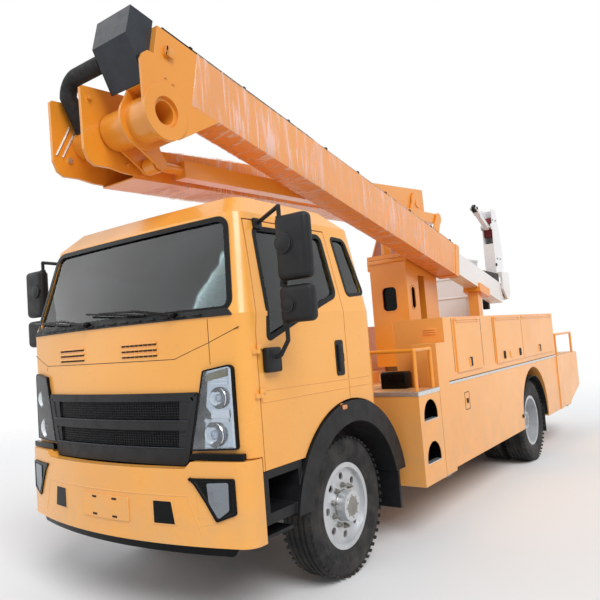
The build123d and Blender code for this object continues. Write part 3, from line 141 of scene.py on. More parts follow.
# ---------------------------------------------------------------- materials
class Finish:
    """A material under construction: short calls that add and join shader nodes."""

    def __init__(self, name):
        self.material = bpy.data.materials.new(name)
        self.material.use_nodes = True
        self.tree = self.material.node_tree
        self.tree.nodes.clear()
        self.place = self.add("TexCoord").outputs["Object"]

    def add(self, kind, sockets=None, **settings):
        """Make a node; a socket takes a value or a link, and settings are its own properties."""
        node = self.tree.nodes.new("ShaderNode" + kind)
        for key, value in settings.items():
            setattr(node, key, value)
        for key, value in (sockets or {}).items():
            if isinstance(value, bpy.types.NodeSocket):
                self.tree.links.new(value, node.inputs[key])
            else:
                node.inputs[key].default_value = value
        return node

    def mapped(self, scale, turn=(0, 0, 0)):
        """Object coordinates, turned and stretched."""
        node = self.add("Mapping", {"Vector": self.place, "Scale": scale, "Rotation": turn})
        return node.outputs["Vector"]

    def noise(self, scale, detail, stretch=(1, 1, 1), distortion=0.0):
        vector = self.place if stretch == (1, 1, 1) else self.mapped(stretch)
        node = self.add("TexNoise", {"Vector": vector, "Scale": scale, "Detail": detail,
                                     "Distortion": distortion})
        return node.outputs["Fac"]

    def spread(self, value, low, high, to_low=0.0, to_high=1.0):
        """Map a value from one range to another, clamped."""
        node = self.add("MapRange", {"Value": value, "From Min": low, "From Max": high, "To Min": to_low,
                                     "To Max": to_high})
        return node.outputs["Result"]

    def times(self, a, b):
        return self.add("Math", {0: a, 1: b}, operation="MULTIPLY").outputs[0]

    def most(self, a, b):
        return self.add("Math", {0: a, 1: b}, operation="MAXIMUM").outputs[0]

    def blend(self, amount, a, b):
        """Colour a, going over to b as amount grows."""
        node = self.add("Mix", {"Factor": amount}, data_type="RGBA")
        for key, value in (("A_Color", a), ("B_Color", b)):
            socket = [s for s in node.inputs if s.identifier == key][0]
            if isinstance(value, bpy.types.NodeSocket):
                self.tree.links.new(value, socket)
            else:
                socket.default_value = value
        return [s for s in node.outputs if s.identifier == "Result_Color"][0]

    def below(self, high, low):
        """One below the low height, fading to nought at the high one."""
        parts = self.add("SeparateXYZ", {"Vector": self.place})
        return self.spread(parts.outputs["Z"], low, high, 1.0, 0.0)

    def edges(self, radius):
        """Mask of the worn edges, and the normal that rounds them."""
        round_normal = self.add("Bevel", {"Radius": radius}, samples=4).outputs["Normal"]
        true_normal = self.add("NewGeometry").outputs["True Normal"]
        dot = self.add("VectorMath", {0: round_normal, 1: true_normal}, operation="DOT_PRODUCT")
        return self.spread(dot.outputs["Value"], 0.97, 0.82), round_normal

    def bump(self, value, strength, distance, normal=None):
        sockets = {"Height": value, "Strength": strength, "Distance": distance}
        if normal is not None:
            sockets["Normal"] = normal
        return self.add("Bump", sockets).outputs["Normal"]

    def close(self, **sockets):
        """End the material in one main shader; sockets are named with underscores."""
        main = self.add("BsdfPrincipled", {key.replace("_", " "): value for key, value in sockets.items()})
        self.output(main.outputs[0])
        return self.material

    def output(self, shader):
        """End the material in the shader given."""
        self.add("OutputMaterial", {"Surface": shader})
        return self.material


def painted(name, colour, gloss, dust_from, dust_to):
    """Coach paint: slow tone drift, orange peel, dusty low panels and worn edges."""
    f = Finish(name)
    deep = tuple(c * k for c, k in zip(colour[:3], (0.86, 0.8, 0.7))) + (1,)
    drift = f.spread(f.noise(0.8, 4), 0.38, 0.68)
    tone = f.blend(f.times(drift, 0.55), colour, deep)
    speck = f.spread(f.noise(38, 4), 0.62, 0.75)
    tone = f.blend(f.times(speck, 0.10), tone, shade(150, 110, 60))
    dust = f.times(f.below(dust_from, dust_to), f.spread(f.noise(5, 5), 0.35, 0.7))
    tone = f.blend(f.times(dust, 0.35), tone, shade(176, 160, 132))
    wear, normal = f.edges(0.005)
    tone = f.blend(f.times(wear, 0.30), tone, shade(255, 226, 168))
    rough = f.spread(f.noise(2.5, 4), 0.3, 0.7, gloss - 0.06, gloss + 0.1)
    normal = f.bump(f.noise(1.7, 2), 0.10, 0.02, normal)
    normal = f.bump(f.noise(240, 2), 0.10, 0.0006, normal)
    return f.close(Base_Color=tone, Roughness=rough, Normal=normal, Coat_Weight=0.35, Coat_Roughness=0.12)


def moulded(name, colour, gloss=0.5, grain=420, shine=0.3):
    """Grained plastic or plain dull paint, paler in patches and along its edges."""
    f = Finish(name)
    pale = tuple(min(1, c * 1.5 + 0.003) for c in colour[:3]) + (1,)
    tone = f.blend(f.spread(f.noise(6, 5), 0.35, 0.75), colour, pale)
    wear, normal = f.edges(0.004)
    tone = f.blend(f.times(wear, 0.3), tone, shade(96, 98, 102))
    rough = f.spread(f.noise(14, 4), 0.3, 0.7, gloss - 0.08, gloss + 0.12)
    normal = f.bump(f.noise(grain, 2), 0.3, 0.0008, normal)
    return f.close(Base_Color=tone, Roughness=rough, Normal=normal, Specular_IOR_Level=shine)


def rubber(name, colour, dust):
    """Tyre and hose rubber with dust rubbed into it."""
    f = Finish(name)
    patch = f.times(f.spread(f.noise(7, 6), 0.42, 0.75), dust)
    tone = f.blend(patch, colour, shade(96, 90, 82))
    rough = f.spread(f.noise(30, 3), 0.3, 0.7, 0.68, 0.92)
    normal = f.bump(f.noise(180, 3), 0.25, 0.001)
    return f.close(Base_Color=tone, Roughness=rough, Normal=normal)


def metal(name, colour, gloss, metallic, grime, brush=(1, 1, 1)):
    """Bare or plated metal, brushed along one direction, with grime in patches."""
    f = Finish(name)
    patch = f.times(f.spread(f.noise(9, 6), 0.5, 0.8), grime)
    tone = f.blend(patch, colour, shade(64, 58, 50))
    rough = f.spread(f.noise(60, 3, brush), 0.3, 0.7, gloss - 0.08, gloss + 0.14)
    normal = f.bump(f.noise(220, 3, brush), 0.12, 0.0006)
    return f.close(Base_Color=tone, Roughness=rough, Metallic=metallic, Normal=normal)


def glazing(name, tint, body, ior):
    """Thin glass: clear with a tint, and a sheen that grows at shallow angles."""
    f = Finish(name)
    clear = f.add("BsdfTransparent", {"Color": tint})
    veil = f.add("BsdfPrincipled", {"Base Color": body, "Roughness": 0.35})
    shine = f.add("BsdfGlossy", {"Color": (1, 1, 1, 1), "Roughness": 0.02})
    smear = f.spread(f.noise(1.6, 4, (1, 1, 2.2), 0.8), 0.4, 0.75, 0.02, 0.12)
    hazed = f.add("MixShader", {0: smear, 1: clear.outputs[0], 2: veil.outputs[0]})
    facing = f.add("Fresnel", {"IOR": ior}).outputs[0]
    whole = f.add("MixShader", {0: facing, 1: hazed.outputs[0], 2: shine.outputs[0]})
    return f.output(whole.outputs[0])


LENS_RIBS = 30
WEAVE = 160.0


def lens(name, colour):
    """Ribbed lamp lens."""
    f = Finish(name)
    wave = f.add("TexWave", {"Vector": f.place, "Scale": LENS_RIBS, "Distortion": 0.0}, bands_direction="X")
    normal = f.bump(wave.outputs["Fac"], 0.4, 0.002)
    tone = f.blend(f.spread(f.noise(20, 3), 0.4, 0.7, 0.0, 0.15), colour, (1, 1, 1, 1))
    return f.close(Base_Color=tone, Roughness=0.08, Normal=normal, Coat_Weight=0.6, Transmission_Weight=0.12)


def film_wrap(name):
    """Clear stretch film with pale streaks across the boom: partly the film's own milkiness where it is drawn
    tight, partly painted sheen standing in for its glossy glints.
    """
    f = Finish(name)
    streak = f.noise(2.6, 7, (1.2, 3.4, 0.55), 0.5)
    fine = f.noise(5.5, 6, (1.0, 4.5, 0.35), 0.25)
    wide = f.spread(f.noise(0.9, 3, (1, 1.4, 1), 0.3), 0.40, 0.62)
    lines = f.most(f.spread(streak, 0.50, 0.66, 0.0, 0.85), f.spread(fine, 0.52, 0.64, 0.0, 0.7))
    amount = f.times(lines, f.spread(wide, 0.0, 1.0, 0.45, 1.0))
    amount = f.most(amount, 0.12)
    # The white veil in the streaks is partly milky film and partly painted sheen; the true gloss below is
    # kept weak.
    clear = f.add("BsdfTransparent", {"Color": (1.0, 0.99, 0.98, 1)})
    front = f.add("BsdfDiffuse", {"Color": shade(255, 246, 240)})
    through = f.add("BsdfTranslucent", {"Color": shade(255, 240, 226)})
    veil = f.add("MixShader", {0: 0.4, 1: front.outputs[0], 2: through.outputs[0]})
    milk_and_sheen = f.add("MixShader", {0: amount, 1: clear.outputs[0], 2: veil.outputs[0]})
    shine = f.add("BsdfGlossy", {"Roughness": 0.18, "Normal": f.bump(streak, 0.3, 0.01)})
    whole = f.add("MixShader", {0: 0.05, 1: milk_and_sheen.outputs[0], 2: shine.outputs[0]})
    return f.output(whole.outputs[0])


def chequer(name, colour):
    """Steel deck plate with raised bars in two directions."""
    f = Finish(name)
    height = None
    for turn in (math.radians(45), math.radians(-45)):
        vector = f.mapped((26, 9, 1), (0, 0, turn))
        cells = f.add("TexVoronoi", {"Vector": vector, "Scale": 1.0, "Randomness": 0.0},
                      voronoi_dimensions="2D")
        bar = f.spread(cells.outputs["Distance"], 0.30, 0.42, 1.0, 0.0)
        height = bar if height is None else f.most(height, bar)
    tone = f.blend(f.times(f.spread(f.noise(3, 5), 0.35, 0.7), 0.6), colour, shade(120, 104, 80))
    tone = f.blend(f.times(height, 0.45), tone, shade(206, 196, 176))
    normal = f.bump(height, 0.8, 0.003)
    rough = f.spread(f.noise(20, 3), 0.3, 0.7, 0.35, 0.6)
    return f.close(Base_Color=tone, Roughness=rough, Normal=normal, Metallic=0.35)


def woven(name, colour):
    """Seat cloth with a fine weave."""
    f = Finish(name)
    rows = f.add("TexWave", {"Vector": f.place, "Scale": WEAVE}, bands_direction="Z").outputs["Fac"]
    picks = f.add("TexWave", {"Vector": f.place, "Scale": WEAVE}, bands_direction="X").outputs["Fac"]
    weave = f.times(rows, picks)
    pale = tuple(min(1, c * 1.8) for c in colour[:3]) + (1,)
    tone = f.blend(weave, colour, pale)
    normal = f.bump(weave, 0.4, 0.001)
    return f.close(Base_Color=tone, Roughness=0.9, Normal=normal, Sheen_Weight=0.3)


def build_finishes():
    """Make every material once, keyed by a short name."""
    c = bpy.context.scene.truck_finish
    return {
        "cab": painted("cab_paint", tuple(c.cab), 0.30, 1.3, 0.45),
        "body": painted("body_paint", tuple(c.body), 0.36, 1.3, 0.4),
        "boom": painted("boom_paint", tuple(c.boom), 0.34, 0.6, 0.2),
        "white": painted("white_paint", tuple(c.white), 0.3, 0.6, 0.2),
        "plastic": moulded("black_plastic", tuple(c.plastic)),
        "gloss_black": moulded("gloss_black", shade(4, 5, 6), 0.22, 60, shine=0.14),
        "hood": moulded("elbow_hood_plastic", shade(34, 39, 46), 0.26, 300),
        "chassis": moulded("chassis_paint", tuple(c.chassis), 0.55, 90),
        "engine": moulded("engine_castings", shade(52, 54, 56), 0.6, 45),
        "seam": moulded("seam_shadow", shade(58, 36, 14), 0.8, 200),
        "maroon": moulded("maroon_block", shade(104, 34, 40), 0.4, 60),
        "tyre": rubber("tyre_rubber", shade(18, 18, 19), 0.35),
        "hose": rubber("hose_rubber", shade(15, 15, 17), 0.12),
        "silver": metal("silver_rim", tuple(c.silver), 0.38, 0.55, 0.2),
        "steel": metal("bare_steel", shade(150, 148, 144), 0.38, 0.85, 0.35),
        "chrome": metal("plated_steel", shade(225, 228, 232), 0.12, 1.0, 0.05),
        "strip": metal("bright_strip", shade(214, 216, 216), 0.3, 0.8, 0.15, (8, 1, 1)),
        "reflector": metal("lamp_reflector", shade(206, 212, 220), 0.16, 1.0, 0.05),
        "mirror": metal("mirror_glass", shade(210, 216, 222), 0.12, 1.0, 0.02),
        "fog_glass": metal("fog_lamp_glass", shade(132, 137, 144), 0.2, 0.9, 0.5, (5, 1, 1)),
        "glass": glazing("window_glass", shade(206, 222, 224), shade(96, 110, 116), 1.5),
        "lens": glazing("lamp_glass", shade(246, 249, 252), shade(225, 228, 232), 1.4),
        "amber": lens("amber_lens", tuple(c.amber)),
        "indicator": lens("indicator_window", shade(150, 132, 12)),
        "red": lens("red_lens", tuple(c.red)),
        "seat": woven("seat_cloth", tuple(c.seat)),
        "deck": chequer("deck_plate", tuple(c.body)),
        "film": film_wrap("film_wrap"),
    }


MATERIALS = {}

# The finish of each solid of the frame; the locker lids take the body's paint.
NODE_FINISH = {
    "cab": ("cab_shell", "bumper", "door_left", "door_right"),
    "body": ("subframe", "outrigger_boxes", "step_boxes", "tail_body", "locker_left", "locker_right"),
    "boom": ("turret", "lower_boom", "tie_link", "elbow_knuckle", "upper_boom", "boom_shoe", "railings",
             "lift_barrel"),
    "white": ("inner_boom", "platform_bracket", "jib_boom", "bucket"),
    "plastic": ("cab_lower_trim", "grille", "mirrors_left", "mirrors_right"),
    "hood": ("elbow_box",),
    "hose": ("elbow_hose",),
    "chassis": ("chassis_frame", "axles", "side_tanks"),
    "engine": ("driveline",),
    "glass": ("cab_glass", "door_glass_left", "door_glass_right"),
    "lens": ("lamps",),
    "seat": ("cab_interior",),
    "tyre": ("front_tyre_left", "front_tyre_right", "rear_tyres_left", "rear_tyres_right"),
    "silver": ("front_rim_left", "front_rim_right", "rear_rims_left", "rear_rims_right"),
    "steel": ("slew_ring", "knuckle_left", "knuckle_right", "jack_front_left", "jack_front_right",
              "jack_rear_left", "jack_rear_right"),
    "chrome": ("lift_rod",),
}


# ---------------------------------------------------------------- mesh helpers
def behind(distance):
    """Y of a point this far behind the front axle."""
    return FRONT_AXLE.y + distance


def slab(bm, low, high, rounding=0.0, segments=2):
    """A box between two corners, with its edges rounded."""
    low = Vector(low)
    high = Vector(high)
    verts = bmesh.ops.create_cube(bm, size=1)["verts"]
    size = Vector([abs(v) for v in high - low])
    bmesh.ops.scale(bm, vec=size, verts=verts)
    bmesh.ops.translate(bm, vec=(low + high) / 2, verts=verts)
    if rounding > 0:
        edges = list({e for v in verts for e in v.link_edges})
        bmesh.ops.bevel(bm, geom=edges, offset=rounding, segments=segments, profile=0.5, affect="EDGES",
                        material=-1, clamp_overlap=True)
    return bm


def rod(bm, start, end, radius, sides=16, tip=None):
    """A round bar between two points; tip is the radius at its far end."""
    start = Vector(start)
    end = Vector(end)
    run = end - start
    verts = bmesh.ops.create_cone(bm, cap_ends=True, segments=sides, radius1=radius,
                                  radius2=radius if tip is None else tip, depth=run.length)["verts"]
    turn = run.to_track_quat("Z", "Y").to_matrix().to_4x4()
    bmesh.ops.transform(bm, matrix=Matrix.Translation((start + end) / 2) @ turn, verts=verts)
    return verts


def ball(bm, centre, radius, sides=12):
    """A sphere about a point."""
    verts = bmesh.ops.create_uvsphere(bm, u_segments=sides, v_segments=max(6, sides // 2),
                                      radius=radius)["verts"]
    bmesh.ops.translate(bm, vec=centre, verts=verts)
    return verts


def run_tube(bm, points, radius, sides):
    """Straight bars that meet in ball corners."""
    for start, end in zip(points[:-1], points[1:]):
        rod(bm, start, end, radius, sides)
    for corner in points[1:-1]:
        ball(bm, corner, radius, sides)


def lathe(bm, profile, centre, steps, closed=True):
    """Turn an (x, radius) profile about the X axis through centre."""
    verts = [bm.verts.new((x, 0, r)) for x, r in profile]
    pairs = list(zip(verts[:-1], verts[1:]))
    if closed:
        pairs.append((verts[-1], verts[0]))
    edges = [bm.edges.new(pair) for pair in pairs]
    before = set(bm.verts) - set(verts)
    bmesh.ops.spin(bm, geom=verts + edges, cent=(0, 0, 0), axis=(1, 0, 0), angle=math.tau, steps=steps,
                   use_merge=True, use_duplicate=False)
    made = [v for v in bm.verts if v not in before]
    bmesh.ops.translate(bm, vec=centre, verts=made)
    return made


def ring_of(bm, build, count, centre):
    """Build one thing and repeat it round the X axis through centre."""
    before = set(bm.verts)
    build()
    first = [v for v in bm.verts if v not in before]
    edges = {e for v in first for e in v.link_edges}
    faces = {f for v in first for f in v.link_faces}
    for turn in range(1, count):
        copy = bmesh.ops.duplicate(bm, geom=first + list(edges) + list(faces))["geom"]
        verts = [g for g in copy if isinstance(g, bmesh.types.BMVert)]
        turned = Matrix.Rotation(math.tau * turn / count, 3, "X")
        bmesh.ops.rotate(bm, cent=centre, matrix=turned, verts=verts)


def moved(bm, offset):
    """Shift all that has been drawn."""
    bmesh.ops.translate(bm, vec=offset, verts=list(bm.verts))
    return bm


def sided(bm, sign):
    """Leave shapes drawn on the left side there, or turn them over to the right."""
    if sign < 0:
        bmesh.ops.scale(bm, vec=(-1, 1, 1), verts=list(bm.verts))
        bmesh.ops.reverse_faces(bm, faces=list(bm.faces))
    return bm


def flipped(points, sign):
    """The same (x, z) points on the side of this sign."""
    return [(sign * x, z) for x, z in points]


def oblong(a0, b0, a1, b1):
    """The corners of an upright rectangle."""
    return (a0, b0), (a0, b1), (a1, b1), (a1, b0)


def sheet_shape(points, plane, radius=0.0, band=None):
    """A flat face through (a, b) corners, rounded at its corners; band keeps only its rim."""
    bm = bmesh.new()
    bm.faces.new([bm.verts.new((a, 0, b) if plane == "front" else (0, a, b)) for a, b in points])
    if radius > 0:
        bmesh.ops.bevel(bm, geom=list(bm.verts), offset=radius, segments=5, profile=0.5, affect="VERTICES",
                        material=-1)
    if band:
        inner = list(bm.faces)
        bmesh.ops.inset_region(bm, faces=inner, thickness=band, use_boundary=True, use_even_offset=True)
        bmesh.ops.delete(bm, geom=[f for f in inner if f.is_valid], context="FACES")
    return bm


def sliced(bm, axis, start, end, step):
    """Cut a flat shape across, so that it can follow a bowed panel."""
    normal = [0, 0, 0]
    normal[axis] = 1
    count = int((end - start) / step)
    for number in range(1, count):
        point = [0, 0, 0]
        point[axis] = start + number * (end - start) / count
        bmesh.ops.bisect_plane(bm, geom=list(bm.verts) + list(bm.edges) + list(bm.faces), plane_co=point,
                               plane_no=normal)
    return bm


# Outer form of the cab: height, half width, and how far its corners and its middle reach before the axle.
CAB_TIERS = ((1.88, 1.1, 1.11, 1.24), (2.53, 0.965, 0.96, 0.985), (2.66, 0.86, 0.82, 0.84))
# The bumper's reach before the axle, how far its ends fall back, and its half width.
BUMPER_REACH, BUMPER_BOW, BUMPER_HALF = 1.34, 0.18, 1.1


def cab_tier(z):
    """Half width, corner reach and middle reach of the cab at one height."""
    if z <= CAB_TIERS[0][0]:
        return CAB_TIERS[0][1:]
    for low, high in zip(CAB_TIERS[:-1], CAB_TIERS[1:]):
        if z <= high[0]:
            share = (z - low[0]) / (high[0] - low[0])
            return tuple(a + (b - a) * share for a, b in zip(low[1:], high[1:]))
    return CAB_TIERS[-1][1:]


def cab_front(x, z):
    """Y of the cab's front panel."""
    half, corner, middle = cab_tier(z)
    share = min(1.0, abs(x) / half)
    return behind(-(middle - (middle - corner) * share ** 2))


def on_front(bm, proud):
    """Bend a flat sheet on to the cab's front."""
    for v in bm.verts:
        v.co.y = cab_front(v.co.x, v.co.z) - proud
    return bm


def on_side(bm, proud, sign):
    """Lay a flat sheet on a side of the cab."""
    for v in bm.verts:
        v.co.x = sign * (cab_tier(v.co.z)[0] + proud)
    return bm


def thicken(bm, depth, direction=(0, 1, 0)):
    """Give a bent sheet its thickness along one direction."""
    made = bmesh.ops.extrude_face_region(bm, geom=list(bm.faces))["geom"]
    verts = [g for g in made if isinstance(g, bmesh.types.BMVert)]
    bmesh.ops.translate(bm, vec=Vector(direction) * depth, verts=verts)
    return bm


def mirror_copy(bm):
    """Add the same shapes on the truck's other side."""
    copy = bmesh.ops.duplicate(bm, geom=list(bm.verts) + list(bm.edges) + list(bm.faces))["geom"]
    verts = [g for g in copy if isinstance(g, bmesh.types.BMVert)]
    faces = [g for g in copy if isinstance(g, bmesh.types.BMFace)]
    bmesh.ops.scale(bm, vec=(-1, 1, 1), verts=verts)
    bmesh.ops.reverse_faces(bm, faces=faces)
    return bm


def bumper_face(x, _z):
    """Y of the bumper's front, which is the same at every height."""
    return behind(-(BUMPER_REACH - BUMPER_BOW * min(1.0, abs(x) / BUMPER_HALF) ** 2))


def joined(bm, other):
    """Move the shapes of one mesh into another."""
    mesh = bpy.data.meshes.new("part")
    other.to_mesh(mesh)
    other.free()
    bm.from_mesh(mesh)
    bpy.data.meshes.remove(mesh)
    return bm


def front_sheet(points, proud, depth, radius=0.0, band=None, bm=None, face=cab_front):
    """A flat shape laid on a bowed front, with its thickness behind it."""
    sheet = sheet_shape(points, "front", radius, band)
    sliced(sheet, 0, min(p[0] for p in points), max(p[0] for p in points), SLICE_ACROSS)
    sliced(sheet, 2, min(p[1] for p in points), max(p[1] for p in points), SLICE_UP)
    for v in sheet.verts:
        v.co.y = face(v.co.x, v.co.z) - proud
    thicken(sheet, depth)
    bmesh.ops.recalc_face_normals(sheet, faces=list(sheet.faces))
    return sheet if bm is None else joined(bm, sheet)


def side_sheet(points, proud, depth, radius, band, sign):
    """A flat shape laid on a side of the cab, with its thickness behind it."""
    sheet = sheet_shape(points, "side", radius, band)
    sliced(sheet, 2, min(p[1] for p in points), max(p[1] for p in points), SLICE_UP)
    on_side(sheet, proud, sign)
    thicken(sheet, depth, (-sign, 0, 0))
    bmesh.ops.recalc_face_normals(sheet, faces=list(sheet.faces))
    return sheet


def front_line(bm, points, radius, proud, sides=6, step=0.07, face=cab_front):
    """A thin bar that follows a bowed front through (x, z) points."""
    for (xa, za), (xb, zb) in zip(points[:-1], points[1:]):
        count = max(1, int(math.hypot(xb - xa, zb - za) / step))
        stops = []
        for part in range(count + 1):
            x = xa + (xb - xa) * part / count
            z = za + (zb - za) * part / count
            stops.append(Vector((x, face(x, z) - proud, z)))
        for a, b in zip(stops[:-1], stops[1:]):
            rod(bm, a, b, radius, sides)


def spun(bm, points, centre, axis, steps):
    """Turn a line of points all the way round an axis."""
    before = set(bm.verts)
    verts = [bm.verts.new(p) for p in points]
    edges = [bm.edges.new(pair) for pair in zip(verts[:-1], verts[1:])]
    bmesh.ops.spin(bm, geom=verts + edges, cent=centre, axis=axis, angle=math.tau, steps=steps,
                   use_merge=True, use_duplicate=False)
    return [v for v in bm.verts if v not in before]


# Air pressure in a cushion, and the frames that the cloth is given to settle in.
CUSHION_PRESSURE = 4
CUSHION_FRAMES = 20


def puffed(made, voxel, reach):
    """Fill a cushion with air: an even mesh under pressure, with its swelling held back."""
    scene = bpy.context.scene
    even = made.modifiers.new("even", "REMESH")
    even.mode = "VOXEL"
    even.voxel_size = voxel
    graph = bpy.context.evaluated_depsgraph_get()
    plain = bpy.data.meshes.new_from_object(made.evaluated_get(graph))
    made.modifiers.clear()
    made.data = plain
    air = made.modifiers.new("air", "CLOTH")
    air.settings.use_pressure = True
    air.settings.uniform_pressure_force = CUSHION_PRESSURE
    air.settings.effector_weights.gravity = 0
    for number in range(1, CUSHION_FRAMES + 1):
        scene.frame_set(number)
    graph = bpy.context.evaluated_depsgraph_get()
    full = bpy.data.meshes.new_from_object(made.evaluated_get(graph))
    made.modifiers.clear()
    for old, new in zip(plain.vertices, full.vertices):
        swell = new.co - old.co
        if swell.length > reach:
            swell = swell * (reach / swell.length)
        old.co = old.co + swell
    bpy.data.meshes.remove(full)
    scene.frame_set(1)
    plain.polygons.foreach_set("use_smooth", [True] * len(plain.polygons))
    finer = made.modifiers.new("finer", "SUBSURF")
    finer.levels = 1
    finer.render_levels = 1


def piece(name, bm, finish, body, smooth=35, replaces=()):
    """Close a mesh into an object with its finish and body; smooth is the sharpest angle in degrees."""
    bmesh.ops.remove_doubles(bm, verts=list(bm.verts), dist=0.00002)
    bmesh.ops.recalc_face_normals(bm, faces=list(bm.faces))
    mesh = bpy.data.meshes.new(name)
    bm.to_mesh(mesh)
    bm.free()
    mesh.materials.append(MATERIALS[finish])
    mesh.polygons.foreach_set("use_smooth", [True] * len(mesh.polygons))
    mesh.set_sharp_from_angle(angle=math.radians(smooth))
    made = bpy.data.objects.new(name, mesh)
    bpy.context.scene.collection.objects.link(made)
    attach(made, body)
    if replaces:
        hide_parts(*replaces)
    return made


# ---------------------------------------------------------------- operators
class TRUCK_OT_stage(bpy.types.Operator):
    """Floor, soft lights, plain surroundings and the camera"""

    bl_idname = "truck.stage"
    bl_label = "Stage"

    floor_radius = 16
    fade = (6.5, 12.0)
    shift = (0.0399, -0.0029)

    def execute(self, context):
        stage = context.scene.truck_stage
        context.scene.view_settings.view_transform = "Standard"
        self.floor(stage)
        self.surroundings(stage)
        self.lights(stage)
        self.camera(context, stage)
        return {"FINISHED"}

    def floor(self, stage):
        """A pale disc that fades into the plain background."""
        bm = bmesh.new()
        bmesh.ops.create_circle(bm, cap_ends=True, radius=self.floor_radius, segments=64)
        mesh = bpy.data.meshes.new("floor")
        bm.to_mesh(mesh)
        bm.free()
        f = Finish("floor_finish")
        lit = f.add("BsdfDiffuse", {"Color": tuple(stage.floor)})
        reach = f.add("VectorMath", {0: f.place}, operation="LENGTH").outputs["Value"]
        gone = f.add("BsdfTransparent")
        whole = f.add("MixShader", {0: f.spread(reach, *self.fade), 1: lit.outputs[0], 2: gone.outputs[0]})
        mesh.materials.append(f.output(whole.outputs[0]))
        floor = bpy.data.objects.new("floor", mesh)
        bpy.context.scene.collection.objects.link(floor)

    def surroundings(self, stage):
        """White where it is seen, in glossy surfaces or through glass, and dimmer as a light."""
        world = bpy.data.worlds.new("plain_studio")
        bpy.context.scene.world = world
        world.use_nodes = True
        tree = world.node_tree
        tree.nodes.clear()
        path = tree.nodes.new("ShaderNodeLightPath")
        seen = tree.nodes.new("ShaderNodeMath")
        seen.operation = "MAXIMUM"
        tree.links.new(path.outputs["Is Camera Ray"], seen.inputs[0])
        tree.links.new(path.outputs["Is Glossy Ray"], seen.inputs[1])
        either = tree.nodes.new("ShaderNodeMath")
        either.operation = "MAXIMUM"
        tree.links.new(seen.outputs[0], either.inputs[0])
        tree.links.new(path.outputs["Is Transmission Ray"], either.inputs[1])
        soft = tree.nodes.new("ShaderNodeBackground")
        soft.inputs["Color"].default_value = (0.94, 0.97, 1.0, 1)
        soft.inputs["Strength"].default_value = stage.ambient
        white = tree.nodes.new("ShaderNodeBackground")
        white.inputs["Color"].default_value = (1, 1, 1, 1)
        white.inputs["Strength"].default_value = 1.0
        mix = tree.nodes.new("ShaderNodeMixShader")
        tree.links.new(either.outputs[0], mix.inputs[0])
        tree.links.new(soft.outputs[0], mix.inputs[1])
        tree.links.new(white.outputs[0], mix.inputs[2])
        out = tree.nodes.new("ShaderNodeOutputWorld")
        tree.links.new(mix.outputs[0], out.inputs["Surface"])

    def lights(self, stage):
        """A broad sun from the front right of the view, and a weak fill from the other side."""
        for name, strength, spread, direction in (
            ("key_light", stage.key, 32, (0.72, -0.42, 0.85)),
            ("fill_light", stage.key * 0.30, 60, (-0.7, -0.6, 0.5)),
        ):
            lamp = bpy.data.lights.new(name, "SUN")
            lamp.energy = strength
            lamp.angle = math.radians(spread)
            holder = bpy.data.objects.new(name, lamp)
            holder.rotation_euler = Vector(direction).to_track_quat("Z", "Y").to_euler()
            holder.location = Vector(direction) * 12
            bpy.context.scene.collection.objects.link(holder)

    def camera(self, context, stage):
        """The camera, turned by its yaw, pitch and roll."""
        yaw, pitch, roll = (math.radians(v) for v in stage.aim)
        ahead = Vector((-math.sin(yaw) * math.cos(pitch), math.cos(yaw) * math.cos(pitch), math.sin(pitch)))
        level = Vector((math.cos(yaw), math.sin(yaw), 0))
        up = level.cross(ahead)
        right = level * math.cos(roll) + up * math.sin(roll)
        above = up * math.cos(roll) - level * math.sin(roll)
        view = bpy.data.cameras.new("camera")
        view.lens = stage.lens
        view.sensor_width = 36
        view.sensor_fit = "HORIZONTAL"
        view.shift_x, view.shift_y = self.shift
        view.clip_end = 200
        holder = bpy.data.objects.new("camera", view)
        turned = Matrix((right, above, -ahead)).transposed().to_4x4()
        holder.matrix_world = Matrix.Translation(stage.camera) @ turned
        context.scene.collection.objects.link(holder)
        context.scene.camera = holder


class TRUCK_OT_finishes(bpy.types.Operator):
    """Materials for every solid of the frame"""

    bl_idname = "truck.finishes"
    bl_label = "Finishes"

    def execute(self, context):
        MATERIALS.update(build_finishes())
        wanted = {node: finish for finish, nodes in NODE_FINISH.items() for node in nodes}
        for name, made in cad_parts.items():
            finish = wanted.get(name, "body" if name.startswith("lid_") else None)
            if finish is None:
                raise RuntimeError("no finish is set for " + name)
            made.data.materials.clear()
            made.data.materials.append(MATERIALS[finish])
        return {"FINISHED"}


